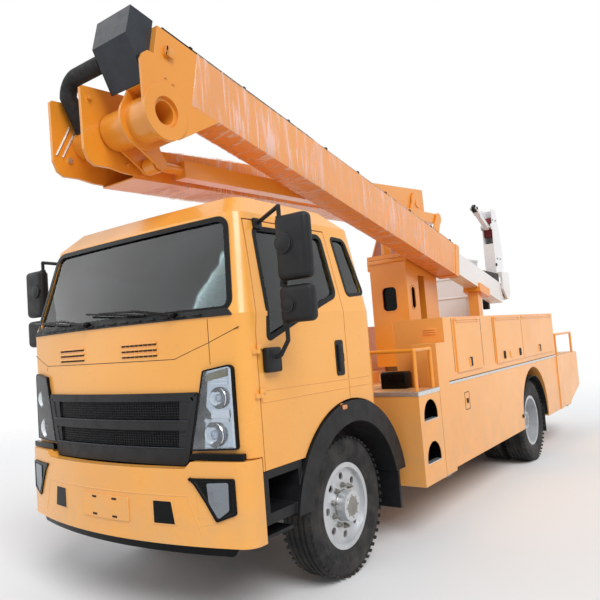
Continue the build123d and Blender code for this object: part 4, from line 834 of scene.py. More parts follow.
class TRUCK_OT_wheels(bpy.types.Operator):
    """Tyres with tread, and the hubs and nuts of all wheels"""

    bl_idname = "truck.wheels"
    bl_label = "Wheels"

    half_width = 0.13
    radius = 0.49
    wall = ((0.088, 0.287), (0.105, 0.306), (0.118, 0.325), (0.1285, 0.372), (0.1275, 0.398),
            (0.1295, 0.402), (0.1275, 0.406), (0.124, 0.432), (0.114, 0.462), (0.1085, 0.476))
    grooves = ((0.074, 0.064), (0.034, 0.023))
    hub_reach = {"front": (0.077, 0.158), "rear": (-0.143, 0.05)}
    # Washer, nut and stud: reach, radius as a share of the nut's, sides, and radius at the far end.
    nut_parts = ((0.006, 1.25, 14, 1.25), (0.027, 1, 6, 1), (0.042, 0.58, 10, 0.5))

    def tyre(self, bm, centre, sizes):
        """Ribbed truck tyre: bowed walls, raised rings and a grooved tread."""
        deep = self.radius - sizes.groove
        half = [*self.wall, (0.095, self.radius - 0.003), (0.083, self.radius)]
        for edge, middle in self.grooves:
            half += [(edge, self.radius), (middle + 0.0035, deep), (middle - 0.0035, deep),
                     (middle - 0.009, self.radius)]
        lathe(bm, half + [(-x, r) for x, r in reversed(half)], centre, 80)
        for sign in (-1, 1):
            ring_of(bm, lambda: self.lug(bm, centre, sign), sizes.lugs, centre)

    def lug(self, bm, centre, sign):
        """One block on the shoulder of the tread."""
        top = self.radius - 0.0022
        slab(bm, centre + Vector((sign * 0.094, -0.017, top - 0.016)),
             centre + Vector((sign * 0.1275, 0.009, top - 0.004)), 0.003, 1)

    def hub(self, bm, centre, face, nose, sign, sizes):
        """Wheel nuts with washers, and a capped hub with its bolt ring."""
        def nut():
            at = Vector((centre.x + sign * face, centre.y, centre.z + sizes.nut_circle))
            for reach, share, sides, tip in self.nut_parts:
                rod(bm, at, at + Vector((sign * reach, 0, 0)), sizes.nut * share, sides, sizes.nut * tip)

        def bolt():
            at = Vector((centre.x + sign * (nose - 0.008), centre.y, centre.z + 0.077))
            rod(bm, at, at + Vector((sign * 0.008, 0, 0)), 0.006, 6)

        ring_of(bm, nut, sizes.wheel_nuts, centre)
        start = face - 0.004
        profile = [(start, 0.0), (start, 0.108), (start + 0.012, 0.108), (start + 0.02, 0.101),
                   (nose - 0.014, 0.092), (nose - 0.006, 0.084), (nose - 0.006, 0.07), (nose, 0.066),
                   (nose, 0.0)]
        lathe(bm, [(sign * x, r) for x, r in profile], centre, 40, closed=False)
        ring_of(bm, bolt, 8, centre)

    def execute(self, context):
        sizes = context.scene.truck_sizes
        for side, sign in SIDES:
            for axle, body, node in (("front", "front_wheel_" + side, "front_tyre_" + side),
                                     ("rear", "rear_wheels_" + side, "rear_tyres_" + side)):
                low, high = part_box(node)
                middle = (low + high) / 2
                outer = max(abs(low.x), abs(high.x)) - self.half_width
                inner = min(abs(low.x), abs(high.x)) + self.half_width
                bm = bmesh.new()
                for x in sorted({round(outer, 4), round(inner, 4)}):
                    self.tyre(bm, Vector((sign * x, middle.y, middle.z)), sizes)
                piece("tyre_" + axle + "_" + side, bm, "tyre", body, 30, (node,))
                bm = bmesh.new()
                self.hub(bm, Vector((sign * outer, middle.y, middle.z)), *self.hub_reach[axle], sign, sizes)
                piece("hub_" + axle + "_" + side, bm, "steel", body)
        return {"FINISHED"}


class TRUCK_OT_cab_front(bpy.types.Operator):
    """Windscreen surround, cowl, wipers, louvres and seams of the cab's front"""

    bl_idname = "truck.cab_front"
    bl_label = "Cab front"

    screen = ((-1.0, 1.925), (-0.88, 2.49), (0.88, 2.49), (1.0, 1.925))
    reach = 1.05
    widen, above, below = 1.028, 0.022, 0.03
    seam_lines = (
        ((-1.045, 1.721), (-0.823, 1.639), (0.594, 1.634), (0.854, 1.72), (1.06, 1.80)),
        ((0.854, 1.86), (0.854, 1.59)),
        ((-0.823, 1.639), (-0.835, 1.60)),
    )

    def surround(self, trim):
        """Black band round the windscreen."""
        middle = sum(z for x, z in self.screen) / len(self.screen)
        grown = [(x * self.widen, z + (self.above if z > middle else -self.below)) for x, z in self.screen]
        bm = sheet_shape(grown, "front", 0.085, 0.036)
        sliced(bm, 0, -self.reach, self.reach, SLICE_ACROSS)
        sliced(bm, 2, 1.88, 2.52, SLICE_UP)
        on_front(bm, trim)
        thicken(bm, 0.005)
        piece("windscreen_surround", bm, "gloss_black", "truck", 40)

    def cowl(self):
        """Slotted panel below the windscreen."""
        bm = sheet_shape([(-1.03, 1.872), (-0.99, 1.915), (0.99, 1.915), (1.03, 1.872)], "front", 0.015)
        sliced(bm, 0, -self.reach, self.reach, SLICE_ACROSS)
        on_front(bm, 0.008)
        thicken(bm, 0.012)
        for number in range(14):
            x = -0.78 + number * 0.12
            y = cab_front(x, 1.893)
            slab(bm, (x - 0.042, y - 0.02, 1.888), (x + 0.042, y - 0.006, 1.898), 0.003, 1)
        piece("cowl", bm, "plastic", "truck")

    def wipers(self):
        """Two cranked arms, each with a blade in short straight parts."""
        bm = bmesh.new()
        blade_part = 0.105
        for foot_x, tip_x, tip_z in ((0.62, -0.06, 1.972), (-0.20, -0.86, 1.966)):
            foot = Vector((foot_x, cab_front(foot_x, 1.905) - 0.035, 1.905))
            tip = Vector((tip_x, cab_front(tip_x, tip_z) - 0.04, tip_z))
            knee = foot.lerp(tip, 0.45) + Vector((0, -0.022, 0.02))
            rod(bm, foot + Vector((0, 0.03, 0)), foot, 0.02, 14)
            ball(bm, foot, 0.021)
            rod(bm, foot, knee, 0.010, 8, 0.008)
            rod(bm, knee, tip, 0.008, 8, 0.006)
            along = (tip - foot).normalized()
            stops = [foot.lerp(tip, 0.82) + along * part * blade_part for part in range(-3, 4)]
            for stop in stops:
                stop.y = cab_front(stop.x, stop.z) - 0.022
                stop.z -= 0.006
            for a, b in zip(stops[:-1], stops[1:]):
                rod(bm, a, b, 0.0075, 6)
        piece("wipers", bm, "gloss_black", "truck")

    def louvres(self):
        """Two sets of three raised louvres, each with a strip of painted shade in the slot under it."""
        bm = bmesh.new()
        shadow = bmesh.new()
        width = 0.041
        for middle in (0.30, -0.43):
            for row in range(3):
                z = 1.742 - row * 0.036
                for part in range(8):
                    x0 = middle - 0.16 + part * 0.04
                    x1 = x0 + width
                    y = min(cab_front(x0, z), cab_front(x1, z))
                    slab(bm, (x0, y - 0.009, z), (x1, y + 0.01, z + 0.012))
                    # Painted shade: a dark brown strip just under each louvre, where its slot lies in shadow.
                    slab(shadow, (x0 + 0.004, y - 0.0015, z - 0.011), (x1 - 0.004, y + 0.008, z))
        piece("front_louvres", bm, "cab", "truck", 40)
        piece("front_louvre_slot_shade", shadow, "seam", "truck")

    def seams(self, width):
        """Fine shut lines of the front panel, mostly sunk into it."""
        bm = bmesh.new()
        for line in self.seam_lines:
            front_line(bm, line, width / 2, -width * 0.22)
        piece("front_seams", bm, "seam", "truck")

    def execute(self, context):
        sizes = context.scene.truck_sizes
        self.surround(sizes.trim)
        self.cowl()
        self.wipers()
        self.louvres()
        self.seams(sizes.seam)
        return {"FINISHED"}


class TRUCK_OT_grille(bpy.types.Operator):
    """Black grille: a deep rim, side panels, two broad bars and meshed recesses"""

    bl_idname = "truck.grille"
    bl_label = "Grille"

    outline = ((0.668, 0.997), (0.773, 1.43), (-0.773, 1.43), (-0.668, 0.997))
    side_panel = ((0.60, 1.05), (0.63, 1.41), (0.745, 1.41), (0.66, 1.05))
    row_pitch = 0.016
    column_pitch = 0.022

    def bars(self):
        """Rim, two bars and side panels in one moulding."""
        bm = front_sheet(self.outline, 0.022, 0.026, 0.035, 0.05)
        for z0, z1, half, proud in ((1.205, 1.262, 0.70, 0.026), (1.01, 1.098, 0.66, 0.024)):
            bar = ((-half + 0.012, z0), (-half, z1), (half, z1), (half - 0.012, z0))
            front_sheet(bar, proud, 0.028, bm=bm)
        for sign in (-1, 1):
            front_sheet(flipped(self.side_panel, sign), 0.017, 0.02, bm=bm)
        piece("grille_frame", bm, "plastic", "truck", 30, ("grille",))

    def edges(self):
        """Painted highlights: pale rods along the rounded top edges of the bars and across the side panels.
        """
        bm = bmesh.new()
        for z, half, proud in ((1.262, 0.695, 0.026), (1.098, 0.655, 0.024)):
            front_line(bm, ((-half, z), (half, z)), 0.0045, proud)
        for sign in (-1, 1):
            front_line(bm, flipped(((0.62, 1.18), (0.70, 1.18)), sign), 0.003, 0.019)
        # The hood's paler grey is painted highlight, standing in for the light caught on these rounded edges.
        piece("grille_edge_highlights", bm, "hood", "truck")

    def mesh(self):
        """Wire mesh in both recesses."""
        bm = bmesh.new()
        proud = 0.007
        for low, high, half in ((1.278, 1.402, 0.63), (1.108, 1.196, 0.60)):
            for row in range(int((high - low) / self.row_pitch) + 1):
                z = low + row * self.row_pitch
                front_line(bm, ((-half, z), (half, z)), 0.0028, proud, 5, 0.09)
            for column in range(int(2 * half / self.column_pitch) + 1):
                x = -half + column * self.column_pitch
                rod(bm, (x, cab_front(x, low) - proud, low), (x, cab_front(x, high) - proud, high), 0.0022, 5)
        piece("grille_mesh", bm, "gloss_black", "truck")

    def execute(self, context):
        back = front_sheet(self.outline, 0.002, 0.004, 0.03)
        piece("grille_back", back, "gloss_black", "truck")
        self.bars()
        self.edges()
        self.mesh()
        return {"FINISHED"}


class TRUCK_OT_lamps(bpy.types.Operator):
    """Head lamps, fog lamps, roof markers and tail lamps"""

    bl_idname = "truck.lamps"
    bl_label = "Lamps"

    outline = ((0.697, 1.083), (0.812, 1.558), (0.990, 1.586), (1.016, 1.568), (1.016, 1.094))
    bowls = ((0.905, 1.392, 0.058), (0.862, 1.178, 0.068))
    bowl_profile = ((0.012, 0.3), (0.01, 0.55), (0.0, 0.85), (-0.004, 1.0), (-0.008, 1.06), (-0.004, 1.1))
    plated_box = ((0.845, 1.277), (0.855, 1.322), (0.972, 1.322), (0.972, 1.277))
    plated_lines = ((1.475, 0.86, 0.975), (1.497, 0.865, 0.975), (1.252, 0.80, 0.965), (1.262, 0.80, 0.965))
    dark_flank = ((0.71, 1.09), (0.805, 1.50), (0.826, 1.49), (0.775, 1.095))
    dark_wedge = ((0.78, 1.335), (0.80, 1.345), (0.845, 1.29), (0.835, 1.24))
    indicator = ((0.822, 1.49), (0.840, 1.538), (0.972, 1.565), (0.972, 1.518))
    fog_housing = ((0.712, 0.938), (1.012, 0.938), (1.014, 0.736), (0.889, 0.69), (0.826, 0.80),
                   (0.757, 0.902))
    fog_glass = ((0.842, 0.912), (0.978, 0.918), (0.974, 0.76), (0.905, 0.712), (0.85, 0.80))

    def bowl(self, shell, glow, x, z, radius):
        """Plated reflector bowl with a projector lens in it."""
        face = cab_front(x, z)
        points = [(x, face + dy - 0.012, z + radius * share) for dy, share in self.bowl_profile]
        spun(shell, points, (x, face, z), (0, 1, 0), 32)
        made = ball(glow, (x, face - 0.012, z), radius * 0.42, 20)
        bmesh.ops.scale(glow, vec=(1, 0.5, 1), space=Matrix.Translation((-x, -face + 0.012, -z)), verts=made)

    def head(self):
        """Head lamp: bowls and plated lines on a bright back, under a clear cover."""
        shell = bmesh.new()
        glow = bmesh.new()
        for x, z, radius in self.bowls:
            self.bowl(shell, glow, x, z, radius)
        front_sheet(self.plated_box, 0.013, 0.011, bm=shell)
        for z, x0, x1 in self.plated_lines:
            front_sheet(oblong(x0, z, x1, z + 0.006), 0.015, 0.012, bm=shell)
        front_sheet(oblong(0.985, 1.105, 1.004, 1.56), 0.017, 0.014, 0.004, bm=shell)
        piece("headlamp_reflectors", mirror_copy(shell), "chrome", "truck")
        piece("headlamp_lenses", mirror_copy(glow), "lens", "truck")
        back = front_sheet(self.outline, 0.003, 0.004, 0.012)
        piece("headlamp_backs", mirror_copy(back), "reflector", "truck")
        dark = front_sheet(self.dark_flank, 0.012, 0.01)
        front_sheet(self.dark_wedge, 0.013, 0.01, bm=dark)
        front_sheet(self.outline, 0.024, 0.025, 0.012, 0.010, bm=dark)
        piece("headlamp_rims", mirror_copy(dark), "gloss_black", "truck")
        window = front_sheet(self.indicator, 0.016, 0.012, 0.008)
        piece("indicators", mirror_copy(window), "indicator", "truck")
        cover = front_sheet(self.outline, 0.0235, 0.003, 0.012)
        piece("headlamp_covers", mirror_copy(cover), "lens", "truck", 35, ("lamps",))

    def fog(self):
        """Fog lamp in its dark housing."""
        back = front_sheet(self.fog_housing, 0.008, 0.03, 0.012, face=bumper_face)
        front_sheet(self.fog_housing, 0.012, 0.012, 0.012, 0.016, bm=back, face=bumper_face)
        piece("fog_lamp_housings", mirror_copy(back), "gloss_black", "truck")
        glass = front_sheet(self.fog_glass, 0.013, 0.006, 0.012, face=bumper_face)
        piece("fog_lamps", mirror_copy(glass), "fog_glass", "truck", 35, ("lamps",))

    def others(self):
        """Roof markers, and the tail lamps on their plates."""
        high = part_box("lamps")[1]
        tail = high.y - 0.016
        marker = slab(bmesh.new(), (0.76, behind(-0.64), 2.60), (0.82, behind(-0.56), high.z), 0.012, 3)
        piece("roof_markers", mirror_copy(marker), "amber", "truck", 35, ("lamps",))
        red = slab(bmesh.new(), (0.87, tail, 0.855), (0.998, high.y, 0.975), 0.008, 3)
        piece("tail_lamps", mirror_copy(red), "red", "truck", 35, ("lamps",))
        amber = slab(bmesh.new(), (0.802, tail, 0.855), (0.866, high.y, 0.975), 0.008, 3)
        piece("tail_indicators", mirror_copy(amber), "amber", "truck")
        plate = slab(bmesh.new(), (0.79, tail - 0.006, 0.842), (1.01, tail + 0.004, 0.988), 0.006, 2)
        piece("tail_lamp_plates", mirror_copy(plate), "plastic", "truck")

    def execute(self, context):
        self.head()
        self.fog()
        self.others()
        return {"FINISHED"}


class TRUCK_OT_bumper(bpy.types.Operator):
    """Trim, blank plate, openings and creases of the bumper"""

    bl_idname = "truck.bumper"
    bl_label = "Bumper trim"

    ledge = ((0.70, 1.034), (0.715, 1.072), (1.06, 1.072), (1.06, 1.034))
    tow_lining = ((0.447, 0.663), (0.447, 0.797), (0.584, 0.797), (0.608, 0.663))
    tow_rim = ((0.440, 0.656), (0.440, 0.804), (0.590, 0.804), (0.615, 0.656))
    lip = ((-0.95, 0.485), (-1.0, 0.57), (1.0, 0.57), (0.95, 0.485))
    plate_slots = ((-0.085, 0.782), (0.115, 0.782), (-0.085, 0.672), (0.115, 0.672))
    middle_crease = ((-0.79, 0.60), (-0.70, 0.832), (0.70, 0.832), (0.79, 0.60))

    def openings(self):
        """Black ledges, tow openings, lower lip and the slots of the plate."""
        bm = bmesh.new()
        for sign in (-1, 1):
            front_sheet(flipped(self.ledge, sign), 0.04, 0.03, 0.006, bm=bm)
            front_sheet(flipped(oblong(0.455, 0.673, 0.569, 0.787), sign), -0.012, 0.004, bm=bm,
                        face=bumper_face)
            front_sheet(flipped(self.tow_lining, sign), 0.0022, 0.004, 0.010, bm=bm, face=bumper_face)
        front_sheet(self.lip, -0.045, 0.006, 0.02, bm=bm, face=bumper_face)
        for x, z in self.plate_slots:
            front_sheet(oblong(x - 0.022, z - 0.006, x + 0.022, z + 0.006), 0.0085, 0.004, bm=bm,
                        face=bumper_face)
        piece("bumper_openings", bm, "gloss_black", "truck")

    def creases(self):
        """Rims of the openings and the pressed lines of the bumper."""
        bm = bmesh.new()
        for sign in (-1, 1):
            front_sheet(flipped(self.tow_rim, sign), 0.004, 0.006, 0.012, 0.008, bm=bm, face=bumper_face)
            front_sheet(flipped(oblong(0.765, 0.708, 0.998, 0.916), sign), 0.0015, 0.006, bm=bm,
                        face=bumper_face)
        front_line(bm, self.middle_crease, 0.006, -0.0025, face=bumper_face)
        for sign in (-1, 1):
            front_line(bm, flipped(((0.76, 0.665), (0.95, 0.69)), sign), 0.005, -0.002, face=bumper_face)
        piece("bumper_creases", bm, "cab", "truck", 30)

    def execute(self, context):
        self.openings()
        plate = front_sheet(oblong(-0.215, 0.652, 0.245, 0.802), 0.007, 0.008, 0.012, face=bumper_face)
        piece("number_plate_blank", plate, "cab", "truck", 30)
        self.creases()
        return {"FINISHED"}


class TRUCK_OT_mirrors(bpy.types.Operator):
    """Mirror heads, arms and brackets on both doors"""

    bl_idname = "truck.mirrors"
    bl_label = "Mirrors"

    tube_x = 1.25
    heads = ((1.80, 2.02), (2.05, 2.44))
    caps = ((1.905, 0.045), (2.265, 0.058))
    clamps = (1.80, 2.03, 2.045, 2.43)

    def arm(self, y):
        """Bent tube from the door to the roof's edge, with its clamps and brackets."""
        x = self.tube_x
        door_x = cab_tier(1.6)[0]
        foot_x = cab_tier(2.456)[0] + 0.012
        bm = bmesh.new()
        run_tube(bm, ((door_x + 0.03, y - 0.01, 1.60), (door_x + 0.09, y, 1.615), (x, y, 1.70), (x, y, 2.505),
                      (foot_x, behind(-0.79), 2.456)), 0.0135, 14)
        for z in self.clamps:
            rod(bm, (x, y, z - 0.012), (x, y, z + 0.012), 0.022, 14)
        slab(bm, (door_x + 0.001, y - 0.075, 1.515), (door_x + 0.05, y + 0.065, 1.665), 0.014, 3)
        slab(bm, (foot_x - 0.015, behind(-0.83), 2.42), (foot_x + 0.012, behind(-0.75), 2.49), 0.008, 2)
        return bm

    def execute(self, context):
        y = behind(-0.9)
        x = self.tube_x
        for side, sign in SIDES:
            body = "cab_door_" + side
            bm = self.arm(y)
            for z0, z1 in self.heads:
                slab(bm, (x - 0.02, y - 0.044, z0), (x + 0.213, y + 0.044, z1), 0.036, 5)
            for z, radius in self.caps:
                cap_x = x + 0.05
                rod(bm, (cap_x, y - 0.058, z), (cap_x, y - 0.03, z), radius, 28, radius * 1.05)
                rod(bm, (cap_x, y - 0.062, z), (cap_x, y - 0.057, z), radius * 0.6, 24, radius * 0.8)
            piece("mirror_heads_" + side, sided(bm, sign), "plastic", body, 40,
                  ("mirrors_" + side,))
            bm = bmesh.new()
            for z0, z1 in self.heads:
                slab(bm, (x + 0.005, y + 0.0435, z0 + 0.025), (x + 0.188, y + 0.0462, z1 - 0.025), 0.001, 1)
            piece("mirror_glass_" + side, sided(bm, sign), "mirror", body)
        return {"FINISHED"}


class TRUCK_OT_doors(bpy.types.Operator):
    """Window frames, handles, creases and side markers of the cab"""

    bl_idname = "truck.doors"
    bl_label = "Doors"

    door_pane = ((-0.905, 1.70), (-0.835, 2.43), (-0.06, 2.44), (-0.055, 1.99), (-0.30, 1.925))
    rear_pane = ((0.11, 2.00), (0.085, 2.44), (0.28, 2.43), (0.36, 2.02))
    overlap = 0.018

    def window_band(self, points, sign, trim, radius, band):
        """Band round a window, with its corners pushed out past the pane's."""
        corners = [Vector(p) for p in points]
        middle = sum(corners, Vector((0, 0))) / len(corners)
        grown = [p + (p - middle).normalized() * self.overlap for p in corners]
        return side_sheet([(behind(a), b) for a, b in grown], trim, 0.004, radius, band, sign)

    def handle(self):
        """Recessed plate, pull and lock of a door."""
        bm = side_sheet(oblong(behind(-0.152), 1.425, behind(-0.045), 1.675), 0.004, 0.006, 0.022, None, 1)
        x = cab_tier(1.5)[0] + 0.016
        slab(bm, (x - 0.014, behind(-0.13), 1.455), (x + 0.006, behind(-0.075), 1.645), 0.012, 3)
        slab(bm, (x - 0.013, behind(-0.062), 1.52), (x - 0.004, behind(-0.05), 1.58), 0.003, 1)
        return bm

    def creases(self, lines):
        """Pressed lines, each from one distance and height to another."""
        bm = bmesh.new()
        x = cab_tier(1.4)[0] - 0.002
        for a, za, b, zb in lines:
            rod(bm, (x, behind(a), za), (x, behind(b), zb), 0.006, 8)
        return bm

    def execute(self, context):
        trim = context.scene.truck_sizes.trim
        for side, sign in SIDES:
            body = "cab_door_" + side
            band = self.window_band(self.door_pane, sign, trim, 0.06, 0.034)
            piece("door_window_frame_" + side, band, "gloss_black", body, 40)
            band = self.window_band(self.rear_pane, sign, trim, 0.05, 0.026)
            piece("rear_window_frame_" + side, band, "gloss_black", "truck", 40)
            piece("door_handle_" + side, sided(self.handle(), sign), "plastic", body)
            bm = self.creases(((-1.0, 1.345, -0.02, 1.335), (-1.0, 1.415, -0.02, 1.395)))
            piece("door_creases_" + side, sided(bm, sign), "cab", body)
            bm = self.creases(((0.02, 1.335, 0.31, 1.330), (0.02, 1.395, 0.31, 1.390)))
            piece("cab_creases_" + side, sided(bm, sign), "cab", "truck")
            bm = bmesh.new()
            slab(bm, (1.099, -2.80, 1.215), (1.112, -2.755, 1.232), 0.004, 2)
            slab(bm, (1.108, -2.80, 1.19), (1.132, -2.745, 1.222), 0.008, 2)
            piece("side_marker_" + side, sided(bm, sign), "amber", "truck")
        return {"FINISHED"}


class TRUCK_OT_interior(bpy.types.Operator):
    """Dashboard, steering wheel and padded seats"""

    bl_idname = "truck.interior"
    bl_label = "Cab interior"

    wheel_lean = math.radians(35)
    # Name, middle and width of each seat, and how far its parts stand in from its edges.
    seats = (("driver", 0.43, 0.52), ("mate", -0.37, 0.64))
    inset = 0.012
    voxel = 0.014
    puff = 0.011

    def steering_wheel(self, bm):
        """Rim, three spokes and boss, drawn flat and then leaned back on the column."""
        hub = Vector((0.43, behind(-0.61), 1.94))
        axis = Vector((0, math.sin(self.wheel_lean), math.cos(self.wheel_lean)))
        turn = Vector((0, 0, 1)).rotation_difference(axis).to_matrix()
        grip = [Vector((0.215 + 0.016 * math.cos(a), 0, 0.016 * math.sin(a)))
                for a in (math.tau * part / 10 for part in range(10))]
        made = spun(bm, grip + grip[:1], (0, 0, 0), (0, 0, 1), 40)
        for angle in (math.radians(degrees) for degrees in (10, 170, 270)):
            made += rod(bm, (0, 0, -0.01), (0.205 * math.cos(angle), 0.205 * math.sin(angle), 0), 0.014, 8)
        made += rod(bm, (0, 0, -0.02), (0, 0, 0.022), 0.055, 24, 0.045)
        made = list(set(made))
        bmesh.ops.rotate(bm, cent=(0, 0, 0), matrix=turn, verts=made)
        bmesh.ops.translate(bm, vec=hub, verts=made)
        rod(bm, hub - axis * 0.28, hub - axis * 0.01, 0.028, 12, 0.034)

    def dashboard(self):
        """Dashboard with its cowl, console, foot panel and vents."""
        bm = bmesh.new()
        slab(bm, (-0.94, behind(-1.04), 1.56), (0.94, behind(-0.77), 1.84), 0.05, 4)
        slab(bm, (0.20, behind(-0.86), 1.80), (0.66, behind(-0.72), 1.90), 0.045, 4)
        slab(bm, (-0.16, behind(-0.80), 1.34), (0.16, behind(-0.70), 1.76), 0.03, 3)
        slab(bm, (-0.5, behind(-1.0), 1.30), (0.5, behind(-0.9), 1.58), 0.02, 2)
        for x in (-0.82, -0.42, -0.1, 0.1, 0.8):
            slab(bm, (x - 0.07, behind(-0.775), 1.70), (x + 0.07, behind(-0.762), 1.755), 0.006, 2)
        self.steering_wheel(bm)
        piece("dashboard", bm, "plastic", "truck", 35, ("cab_interior",))

    def seat(self, name, middle, wide):
        """Plastic base with headrest posts, and three padded parts on it."""
        y = behind(-0.42)
        x0 = middle - wide / 2
        x1 = middle + wide / 2
        bm = slab(bmesh.new(), (x0 + 0.03, y + 0.03, 1.302), (x1 - 0.03, y + 0.48, 1.50), 0.02, 2)
        for x in (x0 + 0.14, x1 - 0.14):
            rod(bm, (x, y + 0.555, 2.12), (x, y + 0.555, 2.19), 0.008, 8)
        piece(name + "_seat_base", bm, "plastic", "truck")
        left, right = x0 + self.inset, x1 - self.inset
        for part, low, high in (("cushion", (left, y + self.inset, 1.512), (right, y + 0.478, 1.70)),
                                ("back", (left, y + 0.50, 1.64), (right, y + 0.615, 2.12)),
                                ("headrest", (x0 + 0.11, y + 0.51, 2.165), (x1 - 0.11, y + 0.60, 2.268))):
            bm = slab(bmesh.new(), low, high, 0.035, 4)
            made = piece(name + "_seat_" + part, bm, "seat", "truck", 180, ("cab_interior",))
            puffed(made, self.voxel, self.puff)

    def execute(self, context):
        self.dashboard()
        for seat in self.seats:
            self.seat(*seat)
        return {"FINISHED"}


class TRUCK_OT_lockers(bpy.types.Operator):
    """Latches, hinges, strips, flaps, seams and arch liners of the lockers"""

    bl_idname = "truck.lockers"
    bl_label = "Lockers"

    # Distance of the lids' and the walls' faces from the middle of the truck.
    lid_face = 1.254
    wall_face = 1.24
    hinge_inset = 0.07
    rivets, rivet_pitch = 40, 0.0985
    proud = 0.0012
    strip_runs = ((-1.165, 1.0), (2.10, 2.75), (1.0, 2.10))
    door_seams = (-0.98, -0.20, 0.17, 2.67)
    arch_ring = ((0.765, 0.548), (1.228, 0.548), (1.228, 0.543), (0.765, 0.543))

    def latch(self, bm, y):
        """Handle plate, pull and lock of a lid."""
        x = self.lid_face
        slab(bm, (x - 0.001, y - 0.026, 1.322), (x + 0.0118, y + 0.026, 1.408), 0.006, 3)
        slab(bm, (x + 0.004, y - 0.016, 1.338), (x + 0.015, y + 0.016, 1.366), 0.004, 2)
        rod(bm, (x + 0.01, y, 1.386), (x + 0.0155, y, 1.386), 0.009, 14)

    def hinges(self, first, last):
        """Two knuckles with screwed leaves, and the rolled edge between them."""
        x = self.lid_face
        bm = bmesh.new()
        for y in (first, last):
            rod(bm, (x, y - 0.045, 1.775), (x, y + 0.045, 1.775), 0.0115, 12)
            slab(bm, (x - 0.001, y - 0.022, 1.742), (x + 0.004, y + 0.022, 1.772), 0.002, 1)
            for screw in (y - 0.012, y + 0.012):
                rod(bm, (x, screw, 1.752), (x + 0.006, screw, 1.752), 0.004, 6)
        rod(bm, (x + 0.004, first, 1.752), (x + 0.004, last, 1.752), 0.003, 8)
        return bm

    def lid_parts(self, side, sign):
        """Latches and hinges ride with their lids; the middle lid has two latches."""
        for number in (1, 2, 3):
            low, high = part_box("lid_%s_%d" % (side, number))
            body = "hatch_%s_%d" % (side, number)
            middle = (low.y + high.y) / 2
            bm = bmesh.new()
            for y in (middle - 0.24, middle + 0.35) if number == 2 else (middle,):
                self.latch(bm, y)
            piece("latches_%s_%d" % (side, number), sided(bm, sign), "plastic", body)
            bm = self.hinges(low.y + self.hinge_inset, high.y - self.hinge_inset)
            piece("hinges_%s_%d" % (side, number), sided(bm, sign), "body", body)

    def strips(self):
        """Riveted bright strip along the body."""
        x = self.wall_face
        bm = bmesh.new()
        for start, end in self.strip_runs:
            slab(bm, (x - 0.001, start, 1.198), (x + 0.005, end, 1.220), 0.002, 1)
        for part in range(self.rivets):
            y = -1.13 + part * self.rivet_pitch
            rod(bm, (x, y, 1.209), (x + 0.0075, y, 1.209), 0.0045, 6)
        return bm

    def flaps(self):
        """Catches of the wall, and the mud flap behind the rear wheel."""
        x = self.wall_face
        bm = bmesh.new()
        slab(bm, (x - 0.001, 0.926, 0.602), (x + 0.010, 0.986, 0.642), 0.008, 3)
        slab(bm, (x - 0.001, -0.765, 0.985), (x + 0.011, -0.735, 1.03), 0.005, 2)
        slab(bm, (0.64, 2.078, 0.27), (1.19, 2.090, 0.72), 0.004, 1)
        return bm

    def seams(self):
        """Shut lines of the small hatch, the top edge and the upright joints."""
        x = self.wall_face
        band = sheet_shape(oblong(-0.81, 0.925, -0.69, 1.09), "side", 0.012, 0.006)
        bm = thicken(moved(band, (x + self.proud, 0, 0)), 0.003, (-1, 0, 0))
        slab(bm, (x - 0.002, -1.165, 1.222), (x + self.proud, 2.75, 1.228))
        for y in self.door_seams:
            slab(bm, (x - 0.002, y, 1.30), (x + self.proud, y + 0.004, 1.79))
        return bm

    def louvres(self):
        """Three short louvres on the front wall."""
        bm = bmesh.new()
        for z in (1.655, 1.675, 1.695):
            slab(bm, (1.05, -1.180, z), (1.17, -1.170, z + 0.011), 0.003, 2)
        return bm

    def arch(self, side):
        """Half round liner over the rear wheels."""
        low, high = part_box("rear_rims_" + side)
        axle = (low + high) / 2
        bm = bmesh.new()
        strip = bm.faces.new([bm.verts.new((x, axle.y - r, axle.z)) for x, r in self.arch_ring])
        bmesh.ops.spin(bm, geom=list(strip.verts) + list(strip.edges) + [strip], cent=(0, axle.y, axle.z),
                       axis=(1, 0, 0), angle=-math.pi, steps=28, use_merge=False, use_duplicate=False)
        return bm

    def execute(self, context):
        for side, sign in SIDES:
            self.lid_parts(side, sign)
            for name, bm, finish, slot in (
                ("bright_strips_", self.strips(), "strip", "steel"),
                ("flaps_and_catches_", self.flaps(), "hose", "black_plastic"),
                ("locker_seams_", self.seams(), "seam", "black_plastic"),
                ("locker_louvres_", self.louvres(), "body", "body_paint"),
                ("arch_liner_", self.arch(side), "plastic", "black_plastic"),
            ):
                piece(name + side, sided(bm, sign), finish, "truck")
        return {"FINISHED"}


